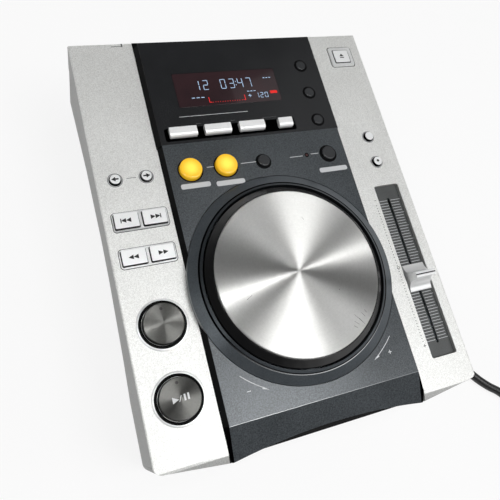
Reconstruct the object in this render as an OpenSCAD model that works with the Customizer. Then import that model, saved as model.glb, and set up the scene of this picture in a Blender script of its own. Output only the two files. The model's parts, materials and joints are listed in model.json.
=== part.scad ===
// Tabletop player for 120 mm discs with a large touch wheel, in millimetres.
// +X is to the right of the person who plays, +Y is to the rear, +Z is up and z = 0 is the table.
// Pieces on the sloping top are placed in the deck frame: its origin is the middle of the
// cover's top plane, and its z is the height above that plane.

/* [Body] */
// Width over the side walls
body_w = 217.9; // [217:0.1:221]
// Length of the sloping top from its front edge to its rear edge
deck_l = 272; // [271:0.5:276]
// Slope of the top towards the front, in degrees
tilt = 2.5; // [2.3:0.1:2.7]
// Height of the top's front edge above the table
front_h = 89.2; // [88.6:0.1:91]
// Height of the cover's lower edge above the table
skirt_z = 15; // [14:0.5:16]
// Thickness of the cover's walls
wall = 2.6; // [2.3:0.1:2.8]
// Radius of the cover's two front corners
corner_r = 6; // [5:0.5:7]
// Depth of the hand grips in the side walls
grip_depth = 2.5; // [1.5:0.5:2.5]
// Height of the rubber feet
foot_h = 9; // [8.5:0.5:10]
// Radius of the rubber feet
foot_r = 11; // [9:0.5:12]

/* [Centre console] */
// Width of the console where it meets the cover
console_w = 133.2; // [132.8:0.1:134]
// Height of the console above the cover
console_h = 5.35; // [5.2:0.05:5.6]
// Height of the display panel above the console
panel_rise = 0.35; // [0.2:0.05:0.5]
// Width of the display window
window_w = 74.5; // [70:0.5:76]
// Length of the display window
window_l = 26; // [24:0.5:27]
// Radius of the hollow in the console's front edge, seen from above
arch_r = 394; // [380:2:410]

/* [Jog wheel] */
// Radius of the wheel's outer edge
jog_r = 59; // [58.4:0.1:59.2]
// Radius of the spun metal plate
plate_r = 53.8; // [52:0.1:54]
// Height of the plate's face above the cover
jog_h = 13.9; // [13.6:0.1:14.6]
// Radius of the collar's foot round the wheel
collar_r = 68.6; // [68.2:0.1:68.8]
// Radius of the wheel's shaft
spindle_r = 3; // [2.5:0.1:3.5]
// Running clearance of a shaft in its bush, on the radius
bush_gap = 0.05; // [0.03:0.01:0.08]

/* [Buttons] */
// Travel of the small buttons and keys
key_travel = 0.8; // [0.5:0.1:0.9]
// Travel of the two large buttons
pad_travel = 1.2; // [0.9:0.1:1.3]
// Width of the rings round the two large buttons
pad_rim = 3.5; // [3.4:0.1:4]
// Height of the two large buttons above the cover
pad_h = 5; // [4:0.1:6]
// Clearance round a button's cap
key_gap = 0.3; // [0.2:0.05:0.35]
// Frame round a track or search key, at its sides
key_frame = 1.3; // [1.2:0.05:1.5]
// Length of a track or search key
search_key_l = 9.2; // [8.6:0.1:9.4]
// Width of the three wide effect keys
effect_key_w = 18.5; // [17.5:0.1:19]
// Length of the effect keys
effect_key_l = 6.5; // [6:0.1:6.8]
// Radius of the two amber loop buttons
amber_r = 7.3; // [7:0.1:7.5]
// Width of the eject button
eject_w = 12.5; // [11.5:0.1:13]
// Length of the eject button
eject_l = 10.5; // [9.5:0.1:11]

/* [Tempo slider] */
// Stroke of the slider
fader_stroke = 100; // [90:1:102]
// Width of the slider's slot in its plate
fader_slot_w = 2; // [1.9:0.1:2.6]
// Width of the slider's knob
knob_w = 17; // [15:0.5:18]
// Length of the slider's knob
knob_l = 19; // [16:0.5:20]

/* [Disc loader] */
// Height of the disc slot's lower edge above the table
slot_z = 52; // [50:0.5:53]
// Height of the disc slot's mouth
slot_h = 5; // [4.8:0.1:5.6]
// Radius of the feed roller at its ends
roller_r = 4.4; // [4:0.1:4.8]
// Radius of the turntable
turntable_r = 14; // [13:0.5:14.5]

/* [Mains lead] */
// Diameter of the lead
lead_d = 7; // [6:0.1:7]
// Radius of the coil at the middle of its turns
coil_r = 38.5; // [37:0.5:40]
// Turns of the coil side by side
coil_wide = 2; // [2:1:2]
// Turns of the coil on top of each other
coil_high = 3; // [3:1:4]

/* [Hidden] */
$fn = 72;
fine = 144;      // segments of the wheel's large circles
far = 400;       // longer than any piece, for cutters and prisms
eps = 0.01;      // overshoot of a cutter past the face it opens

// Body: the side view, in the part frame
half_w = body_w / 2;
half_l = deck_l / 2;
lip_out = 6.2;           // reach of the console's chin in front of the top edge
lip_drop = 3;            // height of the lip line under the top plane
rear_out = 17.9;         // lean of the rear wall from its top to its lower edge
depth = (2 * half_l + lip_out) * cos(tilt) - lip_drop * sin(tilt) + rear_out;
deck_y = -depth / 2 + (half_l + lip_out) * cos(tilt) - lip_drop * sin(tilt);
deck_z = front_h + half_l * sin(tilt);
rear_y = depth / 2;
rear_top = [deck_y + half_l * cos(tilt), deck_z + half_l * sin(tilt)];
rear_lean = (rear_y - rear_top[0]) / (rear_top[1] - skirt_z);
edge_r = 1.2;            // rounding of the top's side edges
console_x = console_w / 2;
lip_gap = 0.3;           // step from the chin back to the cover's lip
corner_out = 1.4;        // reach of the lip line at the cover's corners
front_room = 1.4;        // extra thickness of the front wall behind its bevel
grip_chord = 245;        // length of a hand grip
grip_mid = 27.5;         // its middle along the deck
grip_top = 30;           // its upper edge below the top plane
grip_r = (pow(grip_chord / 2, 2) + pow(grip_depth, 2)) / (2 * grip_depth);

// Console and display, in the deck frame
console_top_in = 2.7;    // lean of the console's sides on each side
side_t = 2.9;            // thickness of the console's sides at the top
hollow_x = console_x - console_top_in - side_t;
seat_w = 3;              // the console stands on this much of the cover beside its window
chin_z = -4.5;           // underside of the chin
chin_back = 133;         // the front wall is open in front of this line
chin_flat = 122.6;       // the front bevel starts here
rear_flat = 131.4;       // the rear bevel starts here
sheet_t = 2.2;           // thickness of the console's top
panel_t = 1.2;           // depth that the display panel is let into the console
panel_front = 54.1;
window_at = [-9.25, 93];
window_gap = 0.15;
window_t = panel_rise + panel_t;
ledge = 1.5;             // width of the ledge that carries the window
module_rim = 3;          // the display module is this much wider than the opening

// Jog wheel, in the deck frame
jog_y = -45.04;
jog_gap = 1;             // gap round the wheel
lip_w = 2.5;             // width of the collar's inner lip
collar_top = 8.6;
well_r = jog_r + jog_gap;
well_floor = -9;
well_t = 2;
plate_t = 1.3;
cover_hole_r = well_r + lip_w;
collar_hole_r = collar_r + 0.35;
base_ring_t = 1.2;       // thickness of the console under the collar's foot
bush_r = 5.2;
washer_r = 20;           // the shaft's disc over the bearing
hub_r = 12;              // the shaft's end under the wheel
bush_top = -4.5;
rim_face = jog_h - plate_t;

// Boards and switches, in the deck frame
switch_z = -(wall + 2.4);
board_t = 1.6;
board_z = switch_z - 4.4;
pad_switch_z = switch_z - 1.6;
board_play = 3.5;        // gap from the board to the cover's side walls
board_y = [24, 127];
arm_y = -108;            // front end of the board's arm under the large buttons
arm_w = 34;
switch_size = 6;
press_play = 0.1;        // free travel left above a switch at the end of a press
flange_t = 0.8;
flange_over = 1;         // reach of a cap's flange beyond the cap
stem_r = 1.6;

// Places of the controls on the deck
strip_w = half_w - console_x;
left_x = 0.775 - console_x - strip_w / 2;
right_x = half_w - 19.3;
cue_y = -57.7;
play_y = -100.7;
pad_ring_r = strip_w / 2 - 5.675;
pad_r = pad_ring_r - pad_rim;
pad_rings = [[left_x, cue_y], [left_x, play_y]];
bezel_t = 0.5;
small_r = 3.3;
small_ring_r = 4.8;
small_h = 2.4;
range_at = [right_x + 0.25, 46.3];
lock_at = [right_x + 0.25, 25.8];
track_at = [left_x + 0.5, 8.55];
search_at = [left_x + 0.4, -14.9];
search_bezel = [strip_w - 8.35, 12.1];
search_key_w = search_bezel[0] / 2 - 2 * key_frame;
search_x = search_bezel[0] / 4 + 0.1;   // middle of a key from the middle of its bezel
folder_x = search_x + 1.15;
folder_at = [[left_x - folder_x, 36.3], [left_x + folder_x, 36.3]];
small_buttons = [folder_at[0], folder_at[1], range_at, lock_at];
search_h = 2.6;
eject_at = [right_x + 1, 116.3];
eject_bezel = [18.9, 16.2];
eject_h = 1.5;
bar_y = 61.7;
bar_x = [-48.4, -24.6, -0.3];
hold_at = [24.7, bar_y];
hold_w = 10.5;
bar_h = 8.2;
bar_nose = 2.3;          // rounding of the effect keys' front edge
pocket_side = [3, 2.5];  // the keys' pocket is wider than the row by this, left and right
pocket_front = 2.5;      // and reaches this far in front of the keys
pocket_depth = 0.6;
mode_x = 50.6;
mode_y = [106.7, 84, 61.7];
mode_r = 3.6;
mode_h = 6.6;
loop_y = 34.8;
loop_x = [-49.7, -25.7];
amber_h = 9;
reloop_at = [1, loop_y];
reloop_r = 4.2;
beat_at = [50.1, loop_y];
beat_r = 5;
black_h = 7.4;

// Tempo slider, in the deck frame: its plate is held under an opening of the cover
fader_x = half_w - 18.05;
fader_mid = -55.35;
fader_rest = -62.7;
fader_opening = [20, 125.3];
fader_seat = 2;          // the plate reaches this far under the cover all round
fader_plate_t = 0.8;
lever_l = 5;
slot_play = 1;           // the slot is longer than the lever's stroke by this at each end
fader_slot_l = fader_stroke + lever_l + 2 * slot_play;
lever_t = fader_slot_w - 0.4;
knob_gap = 0.4;
knob_h = 10;
knob_edge = 1.4;         // thickness of the knob's front and rear edges
knob_ridge = 4.4;        // width of the ridge that the finger pushes
knob_lean = 1;           // lean of the knob's sides
knob_groove = [0.6, 0.4];
fader_size = [10.7, 122];
fader_top = -wall - fader_plate_t;
fader_depth = 8;

// Base and rear, in the part frame
tray_t = 1.2;
tray_z = foot_h + tray_t;
tray_x = half_w - 5.8;
tray_front = -139;
tray_rear = rear_y - 12.65;
tray_wall_h = 20;
tray_walls = [[tray_front, 70], [-40, 120]];   // the two stretches of a side wall: start and length
tray_lip_h = 12;
foot_x = tray_x - foot_r - 2.15;
foot_at = [[-foot_x, -104], [foot_x, -104], [-foot_x, 112], [foot_x, 112]];
peg_r = 3;
peg_h = 2.5;
screw_x = half_w - 10.45;
screw_at = [[-screw_x, -130], [screw_x, -130], [-screw_x, 94], [screw_x, 94]];
boss_r = 3.2;
screw_r = 1.3;
screw_l = 12;
head_r = 2.8;
head_h = 2;
rear_x = half_w - 10.95;
rear_top_z = 62;
rear_gap = 1;            // play of the rear panel in the cover's opening
rear_face = tray_rear;
jack_r = 4.15;
jack_neck_r = 4.8;       // where a jack passes through the panel
jack_hole_r = 1.6;
jack_len = 8.5;
jack_z = 34;
audio_x = [-52, -38];
digital_x = -20;
control_x = 5;
control_r = 1.8;
power_x = 19 - rear_x;
power_z = 40;
power_cap = 10;
power_out = 6;           // reach of the power button out of the panel
power_travel = 3;
lead_x = rear_x - 18;
lead_z = 30;
relief_len = 28;
trafo_size = [33, 46, 4];
trafo_core = [34, 30];
trafo_coil = [25, 42, 20];
trafo_at = [tray_x - 10.15 - trafo_size[0], 40];
main_x = [15.15 - tray_x, trafo_at[0] - 5];
main_y = [25, 130];
main_t = 1.6;
post_h = 9.8;
post_in = 7.5;           // from the board's edges to its posts
chip_size = [18, 18, 2.4];
capacitor_r = 5;
capacitor_h = 14;
vent_y = 90;
vent_size = [3, 30];

// Disc loader, in the part frame
disc_r = 60;             // the discs that it plays
disc_z = slot_z + slot_h / 2;
disc_y = -62;
loader_x = disc_r + 6;
loader_y = [-134, 12];
loader_t = 1.4;
loader_low = disc_z - 16.5;
loader_high = disc_z + 7.5;
cheek_t = 3.5;
leg_x = loader_x - 8;
leg_at = [[-leg_x, -126], [leg_x, -126], [-leg_x, 4], [leg_x, 4]];
leg_r = 4;
roller_y = -128;
roller_z = disc_z - 4.9;
roller_mid_r = roller_r - 0.8;
axle_r = 1.5;
fascia_x = console_x - 0.3;
fascia_y = [-depth / 2 + 0.2, -depth / 2 + 9.35];
mouth_x = disc_r + 3.2;
motor_r = 12.5;
motor_h = 7.1;
rod_x = 22;
rod_z = loader_low + 6;
rod_y = [-54, 11];
sled_rest = disc_y + 30;
sled_size = [52, 18, 6.5];
clamp_r = 17;
clamp_neck_r = 14;

// The mains lead lies on the table: from the strain relief round the rear corner, forwards
// beside the player and away to the right, to its coil
lead_r = lead_d / 2;
lead_route = [
    [80, 128, 30], [80, 146, 30], [80, 163, 30], [81, 176, 26], [84, 188, 18], [91, 198, 9.5],
    [104, 204, 4.6], [119, 204, 3.8], [134, 197, 3.8], [144, 184, 3.8], [148, 166, 3.8],
    [148, 130, 3.8], [147, 90, 3.8], [147, 10, 3.8], [148, -62, 3.8], [151, -90, 3.8],
    [157, -114, 3.8], [165, -133, 3.8], [174, -147.5, 3.8],
    [183.5, -158, 3.8], [193.5, -166.6, 3.8], [199, -175, 3.8], [201.5, -186, 3.8],
    [201.4, -197, 3.8], [201, -208, 3.8]
];
coil_at = [243, -208];
coil_z = 0.8;            // the tie passes under the coil
coil_in = coil_r - coil_wide * lead_r;
coil_out = coil_r + coil_wide * lead_r;
coil_h = coil_high * lead_d;
tail_route = [
    [201, -206.5, 11.3], [202, -219.8, 11.3], [206.2, -232.9, 11.2], [214.2, -244.9, 10.3],
    [226.3, -254, 8.8], [241.2, -258.3, 7.7], [256.9, -256.5, 6.4], [271.2, -249.9, 4.9],
    [282.8, -239.1, 3.9], [290.6, -225.2, 3.7], [293, -214, 4.5], [293.5, -203, 6.2],
    [293.5, -192, 8], [293.5, -181, 8.6]
];
tie_t = 0.8;
tie_angle = 9;
tie_turn = 80;           // the tie's place round the coil
plug_at = [293.5, -191, 8.6];
plug_neck_r = 4.6;
plug_neck_l = 12;
plug_body = [28, 17, 24];
pin_r = 2;
pin_l = 19;
pin_x = 9.5;
ring_step = 18;          // distance between the rings of the lead's tube
lead_sides = 10;

// The part frame's y of a point of the deck frame
function world_y(y, z) = deck_y + y * cos(tilt) - z * sin(tilt);
// The lip line's place in the deck frame at a distance from the middle
function lip_y(x) =
    let (x0 = console_x, x1 = half_w - corner_r)
    -(half_l + corner_out + (lip_out - lip_gap - corner_out) * (x1 - x) / (x1 - x0));

// A smooth curve through the points of a route
function ends(p) = concat([2 * p[0] - p[1]], p, [2 * p[len(p) - 1] - p[len(p) - 2]]);
function curve_at(a, b, c, d, t) =
    0.5 * (2 * b + (c - a) * t + (2 * a - 5 * b + 4 * c - d) * t * t + (3 * b - a - 3 * c + d) * t * t * t);
function curve(route) =
    let (p = ends(route), last = len(route) - 1)
    concat(
        [for (i = [0 : last - 1])
            let (n = max(1, round(norm(route[i + 1] - route[i]) / ring_step)))
            for (k = [0 : n - 1]) curve_at(p[i], p[i + 1], p[i + 2], p[i + 3], k / n)],
        [route[last]]
    );
function unit(v) = v / norm(v);

module on_deck() {
    translate([0, deck_y, deck_z]) rotate([tilt, 0, 0]) children();
}

module on_jog_axis() {
    on_deck() translate([0, jog_y, 0]) children();
}

// A flat plate with rounded corners, standing on z = 0
module slab(w, l, h, r = 1) {
    linear_extrude(height = h) union() {
        square([w - 2 * r, l], center = true);
        square([w, l - 2 * r], center = true);
        for (sx = [-1, 1], sy = [-1, 1])
            translate([sx * (w / 2 - r), sy * (l / 2 - r)]) circle(r = r, $fn = 32);
    }
}

// A round cap with a rounded upper edge, standing on z = 0
module round_cap(r, h, edge = 0.6) {
    rotate_extrude() union() {
        square([r, h - edge]);
        square([r - edge, h]);
        translate([r - edge, h - edge]) circle(r = edge, $fn = 32);
    }
}

// A tube swept along a route, with closed ends
module swept_lead(route) {
    line = curve(route);
    count = len(line);
    points = [
        for (i = [0 : count - 1])
            let (
                along = unit(line[min(i + 1, count - 1)] - line[max(i - 1, 0)]),
                side = unit(cross(along, [0, 0, 1])),
                up = cross(side, along)
            )
            for (k = [0 : lead_sides - 1])
                let (a = 360 * k / lead_sides)
                line[i] + lead_r * (cos(a) * side + sin(a) * up)
    ];
    walls = [
        for (i = [0 : count - 2], k = [0 : lead_sides - 1])
            let (
                a = i * lead_sides + k,
                b = i * lead_sides + (k + 1) % lead_sides
            )
            [a, b, b + lead_sides, a + lead_sides]
    ];
    caps = [
        [for (k = [lead_sides - 1 : -1 : 0]) k],
        [for (k = [0 : lead_sides - 1]) (count - 1) * lead_sides + k]
    ];
    polyhedron(points = points, faces = concat(walls, caps), convexity = 8);
}

// The cover's shape from above, drawn in from its outside by inset
module cover_plan(inset, front_inset, round_corners) {
    side = half_w - inset;
    front = world_y(-(half_l + corner_out), -lip_drop) + front_inset;
    middle = world_y(lip_y(console_x), -lip_drop) + front_inset;
    bend = half_w - corner_r;
    linear_extrude(height = far, center = true) union() {
        polygon([
            [-side, depth], [-side, front + corner_r - inset], [-bend, front],
            [-console_x, middle], [console_x, middle],
            [bend, front], [side, front + corner_r - inset], [side, depth]
        ]);
        if (round_corners)
            for (s = [-1, 1]) translate([s * bend, front + corner_r]) circle(r = corner_r);
    }
}

// The cover's cross-section along the deck
module cover_section(inset, edge) {
    side = half_w - inset;
    on_deck() rotate([90, 0, 0]) linear_extrude(height = far, center = true) union() {
        polygon([
            [-side, -far], [side, -far], [side, -inset - edge], [side - edge, -inset],
            [edge - side, -inset], [-side, -inset - edge]
        ]);
        if (edge > 0)
            for (s = [-1, 1]) translate([s * (side - edge), -inset - edge]) circle(r = edge, $fn = 32);
    }
}

// The cover's side view: the lower edge and the leaning rear wall
module cover_side(inset, low) {
    high = rear_top[1] + 20;
    lean = inset / cos(atan(rear_lean));
    rotate([90, 0, 90]) linear_extrude(height = far, center = true) polygon([
        [-depth, low], [rear_y - (low - skirt_z) * rear_lean - lean, low],
        [rear_y - (high - skirt_z) * rear_lean - lean, high], [-depth, high]
    ]);
}

module cover_form(inset, front_inset, edge, low, round_corners) {
    intersection() {
        cover_plan(inset, front_inset, round_corners);
        cover_section(inset, edge);
        cover_side(inset, low);
    }
}

// What the front bevel takes away on one side, between the top edge and the lip line
module front_bevel(s) {
    x0 = console_x - 2;
    x1 = half_w + 2;
    reach = 8;
    y0 = lip_y(x0);
    y1 = lip_y(x1);
    points = [
        [x0, -half_l, 0], [x1, -half_l, 0], [x1, y1, -lip_drop], [x0, y0, -lip_drop],
        [x1, y1 - reach, -lip_drop], [x0, y0 - reach, -lip_drop],
        [x1, y1 - reach, 2], [x0, y0 - reach, 2], [x1, -half_l, 2], [x0, -half_l, 2]
    ];
    faces = [
        [0, 1, 3], [1, 2, 3], [3, 2, 4, 5], [5, 4, 6, 7], [7, 6, 8, 9], [9, 8, 1, 0],
        [1, 8, 6, 4, 2], [9, 0, 3, 5, 7]
    ];
    scale([s, 1, 1]) polyhedron(points = points, faces = faces);
}

// The hand grips: shallow hollows in both side walls, grown inwards by extra
module side_grips(extra) {
    for (s = [-1, 1])
        on_deck()
            translate([s * (half_w + grip_r - grip_depth), grip_mid, -far / 2])
                cylinder(r = grip_r + extra, h = far / 2 - grip_top + extra, $fn = 720);
}

// Openings of the top plane for the buttons and the slider
module cover_holes() {
    cut_z = -wall - 1;
    cut_h = wall + 2;
    for (p = pad_rings) translate([p[0], p[1], cut_z]) cylinder(r = pad_ring_r - 1.4, h = cut_h);
    for (p = small_buttons) translate([p[0], p[1], cut_z]) cylinder(r = small_ring_r - 0.4, h = cut_h);
    for (p = [track_at, search_at])
        translate([p[0], p[1], cut_z]) slab(search_bezel[0] - 0.8, search_bezel[1] - 0.8, cut_h, 1.8);
    translate([eject_at[0], eject_at[1], cut_z]) slab(eject_bezel[0] - 3, eject_bezel[1] - 3, cut_h, 1.2);
    translate([fader_x, fader_mid, cut_z]) slab(fader_opening[0], fader_opening[1], cut_h, 1.5);
}

module top_cover() {
    color([0.76, 0.77, 0.76]) {
        difference() {
            cover_form(0, 0, edge_r, skirt_z, true);
            difference() {
                cover_form(wall, wall + front_room, 0, -1, false);
                side_grips(wall);
            }
            side_grips(0);
            on_deck() {
                for (s = [-1, 1]) front_bevel(s);
                // Window under the console, the wheel's hole and the open front under the chin
                translate([seat_w - hollow_x, 20, -wall - 1])
                    cube([2 * (hollow_x - seat_w), 102, wall + 2]);
                translate([0, jog_y, -wall - 1]) cylinder(r = cover_hole_r, h = wall + 2, $fn = fine);
                translate([-console_x - 0.1, -half_l - 20, -120])
                    cube([2 * console_x + 0.2, half_l + 20 - chin_back, 122]);
                cover_holes();
            }
            // Opening for the rear panel
            translate([-rear_x - rear_gap, rear_face - 8, skirt_z - 1])
                cube([2 * (rear_x + rear_gap), 40, rear_top_z - rear_gap - skirt_z + 1]);
        }
        cover_bosses();
    }
}

// Screw bosses down to the tray, and short ones for the control board
module cover_bosses() {
    intersection() {
        difference() {
            for (p = screw_at) translate([p[0], p[1], tray_z]) cylinder(r = boss_r, h = 100);
            for (p = screw_at) translate([p[0], p[1], tray_z - 1]) cylinder(r = screw_r, h = screw_l + 1);
        }
        cover_form(wall / 2, wall, 0, -1, false);
    }
    on_deck()
        for (p = board_posts())
            translate([p[0], p[1], board_z + board_t])
                cylinder(r = 3, h = -wall / 2 - board_z - board_t);
}

function board_posts() = [[-72, 122], [72, 122], [-72, 30], [72, 30], [left_x + 13, (cue_y + play_y) / 2]];

// The console's outside: sides that lean in, a rear bevel and a long front bevel down to the chin
module console_form(grow) {
    top = console_h + grow;
    side = console_x + grow;
    chin = half_l + lip_out;
    intersection() {
        rotate([90, 0, 0]) linear_extrude(height = far, center = true) polygon([
            [chin_z * 0.45 - side + 4.2, chin_z], [-chin_z * 0.45 + side - 4.2, chin_z], [side, 0],
            [side - console_top_in, top], [console_top_in - side, top], [-side, 0]
        ]);
        rotate([90, 0, 90]) linear_extrude(height = far, center = true) polygon([
            [-chin, chin_z], [-chin_back, chin_z], [-chin_back, 0], [half_l + grow, 0],
            [rear_flat + grow, top], [-chin_flat, top], [-chin, -lip_drop]
        ]);
    }
}

// Holes of the console's top for the buttons behind the wheel
module console_holes() {
    low = -1;
    high = 20;
    hole_l = effect_key_l + 2 * key_gap;
    for (x = bar_x) translate([x, bar_y, low]) slab(effect_key_w + 2 * key_gap, hole_l, high, 0.8);
    translate([hold_at[0], hold_at[1], low]) slab(hold_w + 2 * key_gap, hole_l, high, 0.8);
    for (y = mode_y) translate([mode_x, y, low]) cylinder(r = mode_r + key_gap, h = high);
    for (x = loop_x) translate([x, loop_y, low]) cylinder(r = amber_r + key_gap, h = high);
    translate([reloop_at[0], reloop_at[1], low]) cylinder(r = reloop_r + key_gap, h = high);
    translate([beat_at[0], beat_at[1], low]) cylinder(r = beat_r + key_gap, h = high);
}

module centre_deck() {
    under = console_h - sheet_t;
    panel_under = under - panel_t;
    color([0.25, 0.27, 0.29]) on_deck() difference() {
        union() {
            intersection() {
                console_form(0);
                translate([-far / 2, -far, -far / 2]) cube([far, far + panel_front, far]);
            }
            intersection() {
                console_form(-panel_t);
                translate([-far / 2, panel_front - 1, -far / 2]) cube([far, far, far]);
            }
        }
        // Hollow under the top, behind the wheel
        translate([-hollow_x, 26, -1]) cube([2 * hollow_x, panel_front - 26, under + 1]);
        translate([-hollow_x, panel_front - 1, -1]) cube([2 * hollow_x, 126 - panel_front, panel_under + 1]);
        // Seat of the collar, and the wheel's hole through the base ring
        translate([0, jog_y, base_ring_t]) cylinder(r = collar_hole_r, h = 20, $fn = fine);
        translate([0, jog_y, -1]) cylinder(r = cover_hole_r, h = 20, $fn = fine);
        // Hollow front edge
        translate([0, -(half_l + 1) - arch_r, -20]) cylinder(r = arch_r, h = 40, $fn = 360);
        console_holes();
        translate([window_at[0], window_at[1], -1])
            slab(window_w - 2 * ledge, window_l - 2 * ledge, 20, 1);
    }
}

module display_panel() {
    color([0.13, 0.14, 0.15]) on_deck() difference() {
        intersection() {
            console_form(panel_rise);
            translate([-far / 2, panel_front, 0]) cube([far, far, 20]);
        }
        intersection() {
            console_form(-panel_t);
            translate([-far / 2, panel_front - 2, -far / 2]) cube([far, far, far]);
        }
        console_holes();
        key_pocket();
        translate([window_at[0], window_at[1], -1])
            slab(window_w + 2 * window_gap, window_l + 2 * window_gap, 20, 1);
    }
}

// The shallow pocket that the row of effect keys stands in
module key_pocket() {
    x0 = bar_x[0] - effect_key_w / 2 - pocket_side[0];
    x1 = hold_at[0] + hold_w / 2 + pocket_side[1];
    y0 = bar_y - effect_key_l / 2 - pocket_front;
    y1 = bar_y + effect_key_l / 2 + key_gap;
    translate([(x0 + x1) / 2, (y0 + y1) / 2, console_h + panel_rise - pocket_depth])
        slab(x1 - x0, y1 - y0, 20, 1.5);
}

module display_window() {
    color([0.22, 0.05, 0.06]) on_deck()
        translate([window_at[0], window_at[1], console_h - panel_t]) slab(window_w, window_l, window_t, 1);
}

module display_module() {
    top = console_h - sheet_t - panel_t - 0.2;
    low = board_z + board_t;
    color([0.2, 0.22, 0.2]) on_deck() translate([window_at[0], window_at[1], low])
        slab(window_w + 2 * module_rim, window_l + 2 * module_rim, top - low, 1);
}

// The collar and the well that the wheel turns in
module jog_collar() {
    foot_in = collar_r - 1.8;
    color([0.2, 0.22, 0.24]) on_jog_axis() difference() {
        rotate_extrude($fn = fine) polygon([
            [bush_r, well_floor - well_t], [well_r + 2.2, well_floor - well_t],
            [well_r + 2.2, console_h - 0.6],
            [foot_in, console_h - 2], [foot_in, 0], [collar_r, 0], [collar_r, console_h],
            [cover_hole_r + 0.2, collar_top - 0.15], [cover_hole_r - 0.1, collar_top],
            [well_r, collar_top + 1.3], [well_r, well_floor], [bush_r, well_floor]
        ]);
        // The foot stands on the console's base ring inside the console's width
        difference() {
            translate([-console_x - 0.1, -80, -1]) cube([2 * console_x + 0.2, 160, base_ring_t + 1]);
            translate([0, 0, -2]) cylinder(r = cover_hole_r, h = 10, $fn = fine);
        }
    }
}

module jog_bearing() {
    bore = spindle_r + bush_gap;
    flange_top = well_floor + 1.4;
    color([0.75, 0.6, 0.35]) on_jog_axis() rotate_extrude() polygon([
        [bore, well_floor - well_t - 2], [bush_r, well_floor - well_t - 2], [bush_r, well_floor],
        [18, well_floor], [18, flange_top], [spindle_r + 3, flange_top],
        [spindle_r + 3, bush_top], [bore, bush_top]
    ]);
}

module jog_rim() {
    seat = plate_r + 0.2;
    color([0.1, 0.1, 0.11]) on_jog_axis() rotate_extrude($fn = fine) polygon([
        [0, rim_face - 2.6], [0, rim_face], [seat, rim_face], [seat, rim_face + 0.5],
        [seat + 0.4, rim_face + 0.5], [jog_r, rim_face - 3.3], [jog_r, 0.6], [jog_r - 2.5, 0.6],
        [jog_r - 2.5, rim_face - 2.6]
    ]);
}

module jog_plate() {
    color([0.66, 0.65, 0.64]) on_jog_axis() translate([0, 0, rim_face]) rotate_extrude($fn = fine) polygon([
        [0, 0], [plate_r, 0], [plate_r, plate_t - 0.5], [plate_r - 0.5, plate_t], [0, plate_t]
    ]);
}

module jog_spindle() {
    top = rim_face - 2.6;
    clip_z = well_floor - well_t - 2.4;
    color([0.6, 0.6, 0.62]) on_jog_axis() rotate_extrude() polygon([
        [0, clip_z - 1.4], [spindle_r, clip_z - 1.4], [spindle_r, clip_z - 1], [spindle_r + 1.6, clip_z - 1],
        [spindle_r + 1.6, clip_z], [spindle_r, clip_z], [spindle_r, -3.6], [washer_r, -3.6], [washer_r, -2.8],
        [spindle_r + 2, -2.8], [spindle_r + 2, top - 2], [hub_r, top - 2], [hub_r, top], [0, top]
    ]);
}

// The lower face of a stem that leaves the travel free above its switch
function stem_end(switch, travel) = switch + travel + press_play;

// A push button: its cap reaches down past the guide's underside to a flange, and its stem to the switch
module round_button(at, r, top_z, guide_z, stem_z, edge = 0.6) {
    flange_z = guide_z - key_gap - flange_t;
    on_deck() {
        translate([at[0], at[1], flange_z]) round_cap(r, top_z - flange_z, edge);
        translate([at[0], at[1], flange_z]) cylinder(r = r + flange_over, h = flange_t);
        translate([at[0], at[1], stem_z]) cylinder(r = stem_r, h = flange_z - stem_z + eps);
    }
}

module flat_button(at, w, l, top_z, guide_z, stem_z) {
    flange_z = guide_z - key_gap - flange_t;
    on_deck() {
        translate([at[0], at[1], flange_z]) slab(w, l, top_z - flange_z, 0.6);
        translate([at[0], at[1], flange_z]) slab(w + flange_over, l + flange_over, flange_t, 0.6);
        translate([at[0], at[1], stem_z]) cylinder(r = stem_r, h = flange_z - stem_z + eps);
    }
}

key_stem = stem_end(switch_z, key_travel);
pad_stem = stem_end(pad_switch_z, pad_travel);
sleeve_z = -wall - 0.3;
console_guide = console_h - sheet_t;
panel_guide = console_guide - panel_t;

module strip_button(at) {
    color([0.85, 0.85, 0.84]) round_button(at, small_r, small_h, sleeve_z, key_stem, 0.4);
}

module pad_button(at) {
    color([0.45, 0.45, 0.45]) round_button(at, pad_r, pad_h, sleeve_z, pad_stem, 0.5);
}

module search_key(bezel, side) {
    at = [bezel[0] + side * search_x, bezel[1]];
    color([0.9, 0.9, 0.89])
        flat_button(at, search_key_w, search_key_l, search_h, sleeve_z, key_stem);
}

// A bar-shaped key: the front of its cap is rounded down to the panel
module effect_key(at, w) {
    reach = effect_key_l / 2;
    color([0.85, 0.86, 0.86]) difference() {
        flat_button(at, w, effect_key_l, bar_h, panel_guide, key_stem);
        on_deck() translate([at[0], at[1] - reach, bar_h - bar_nose]) rotate([90, 0, 90])
            linear_extrude(height = w + 2, center = true) difference() {
                translate([-1, 0]) square([bar_nose + 1, bar_nose + 1]);
                translate([bar_nose, 0]) circle(r = bar_nose);
            }
    }
}

module mode_button(y) {
    color([0.1, 0.1, 0.11]) round_button([mode_x, y], mode_r, mode_h, panel_guide, key_stem, 0.5);
}

module amber_button(x) {
    color([1, 0.75, 0.1]) round_button([x, loop_y], amber_r, amber_h, console_guide, key_stem, 1.2);
}

module black_button(at, r) {
    color([0.08, 0.08, 0.09]) round_button(at, r, black_h, console_guide, key_stem, 0.8);
}

module eject_button() {
    color([0.85, 0.85, 0.84]) flat_button(eject_at, eject_w, eject_l, eject_h, sleeve_z, key_stem);
}

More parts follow.
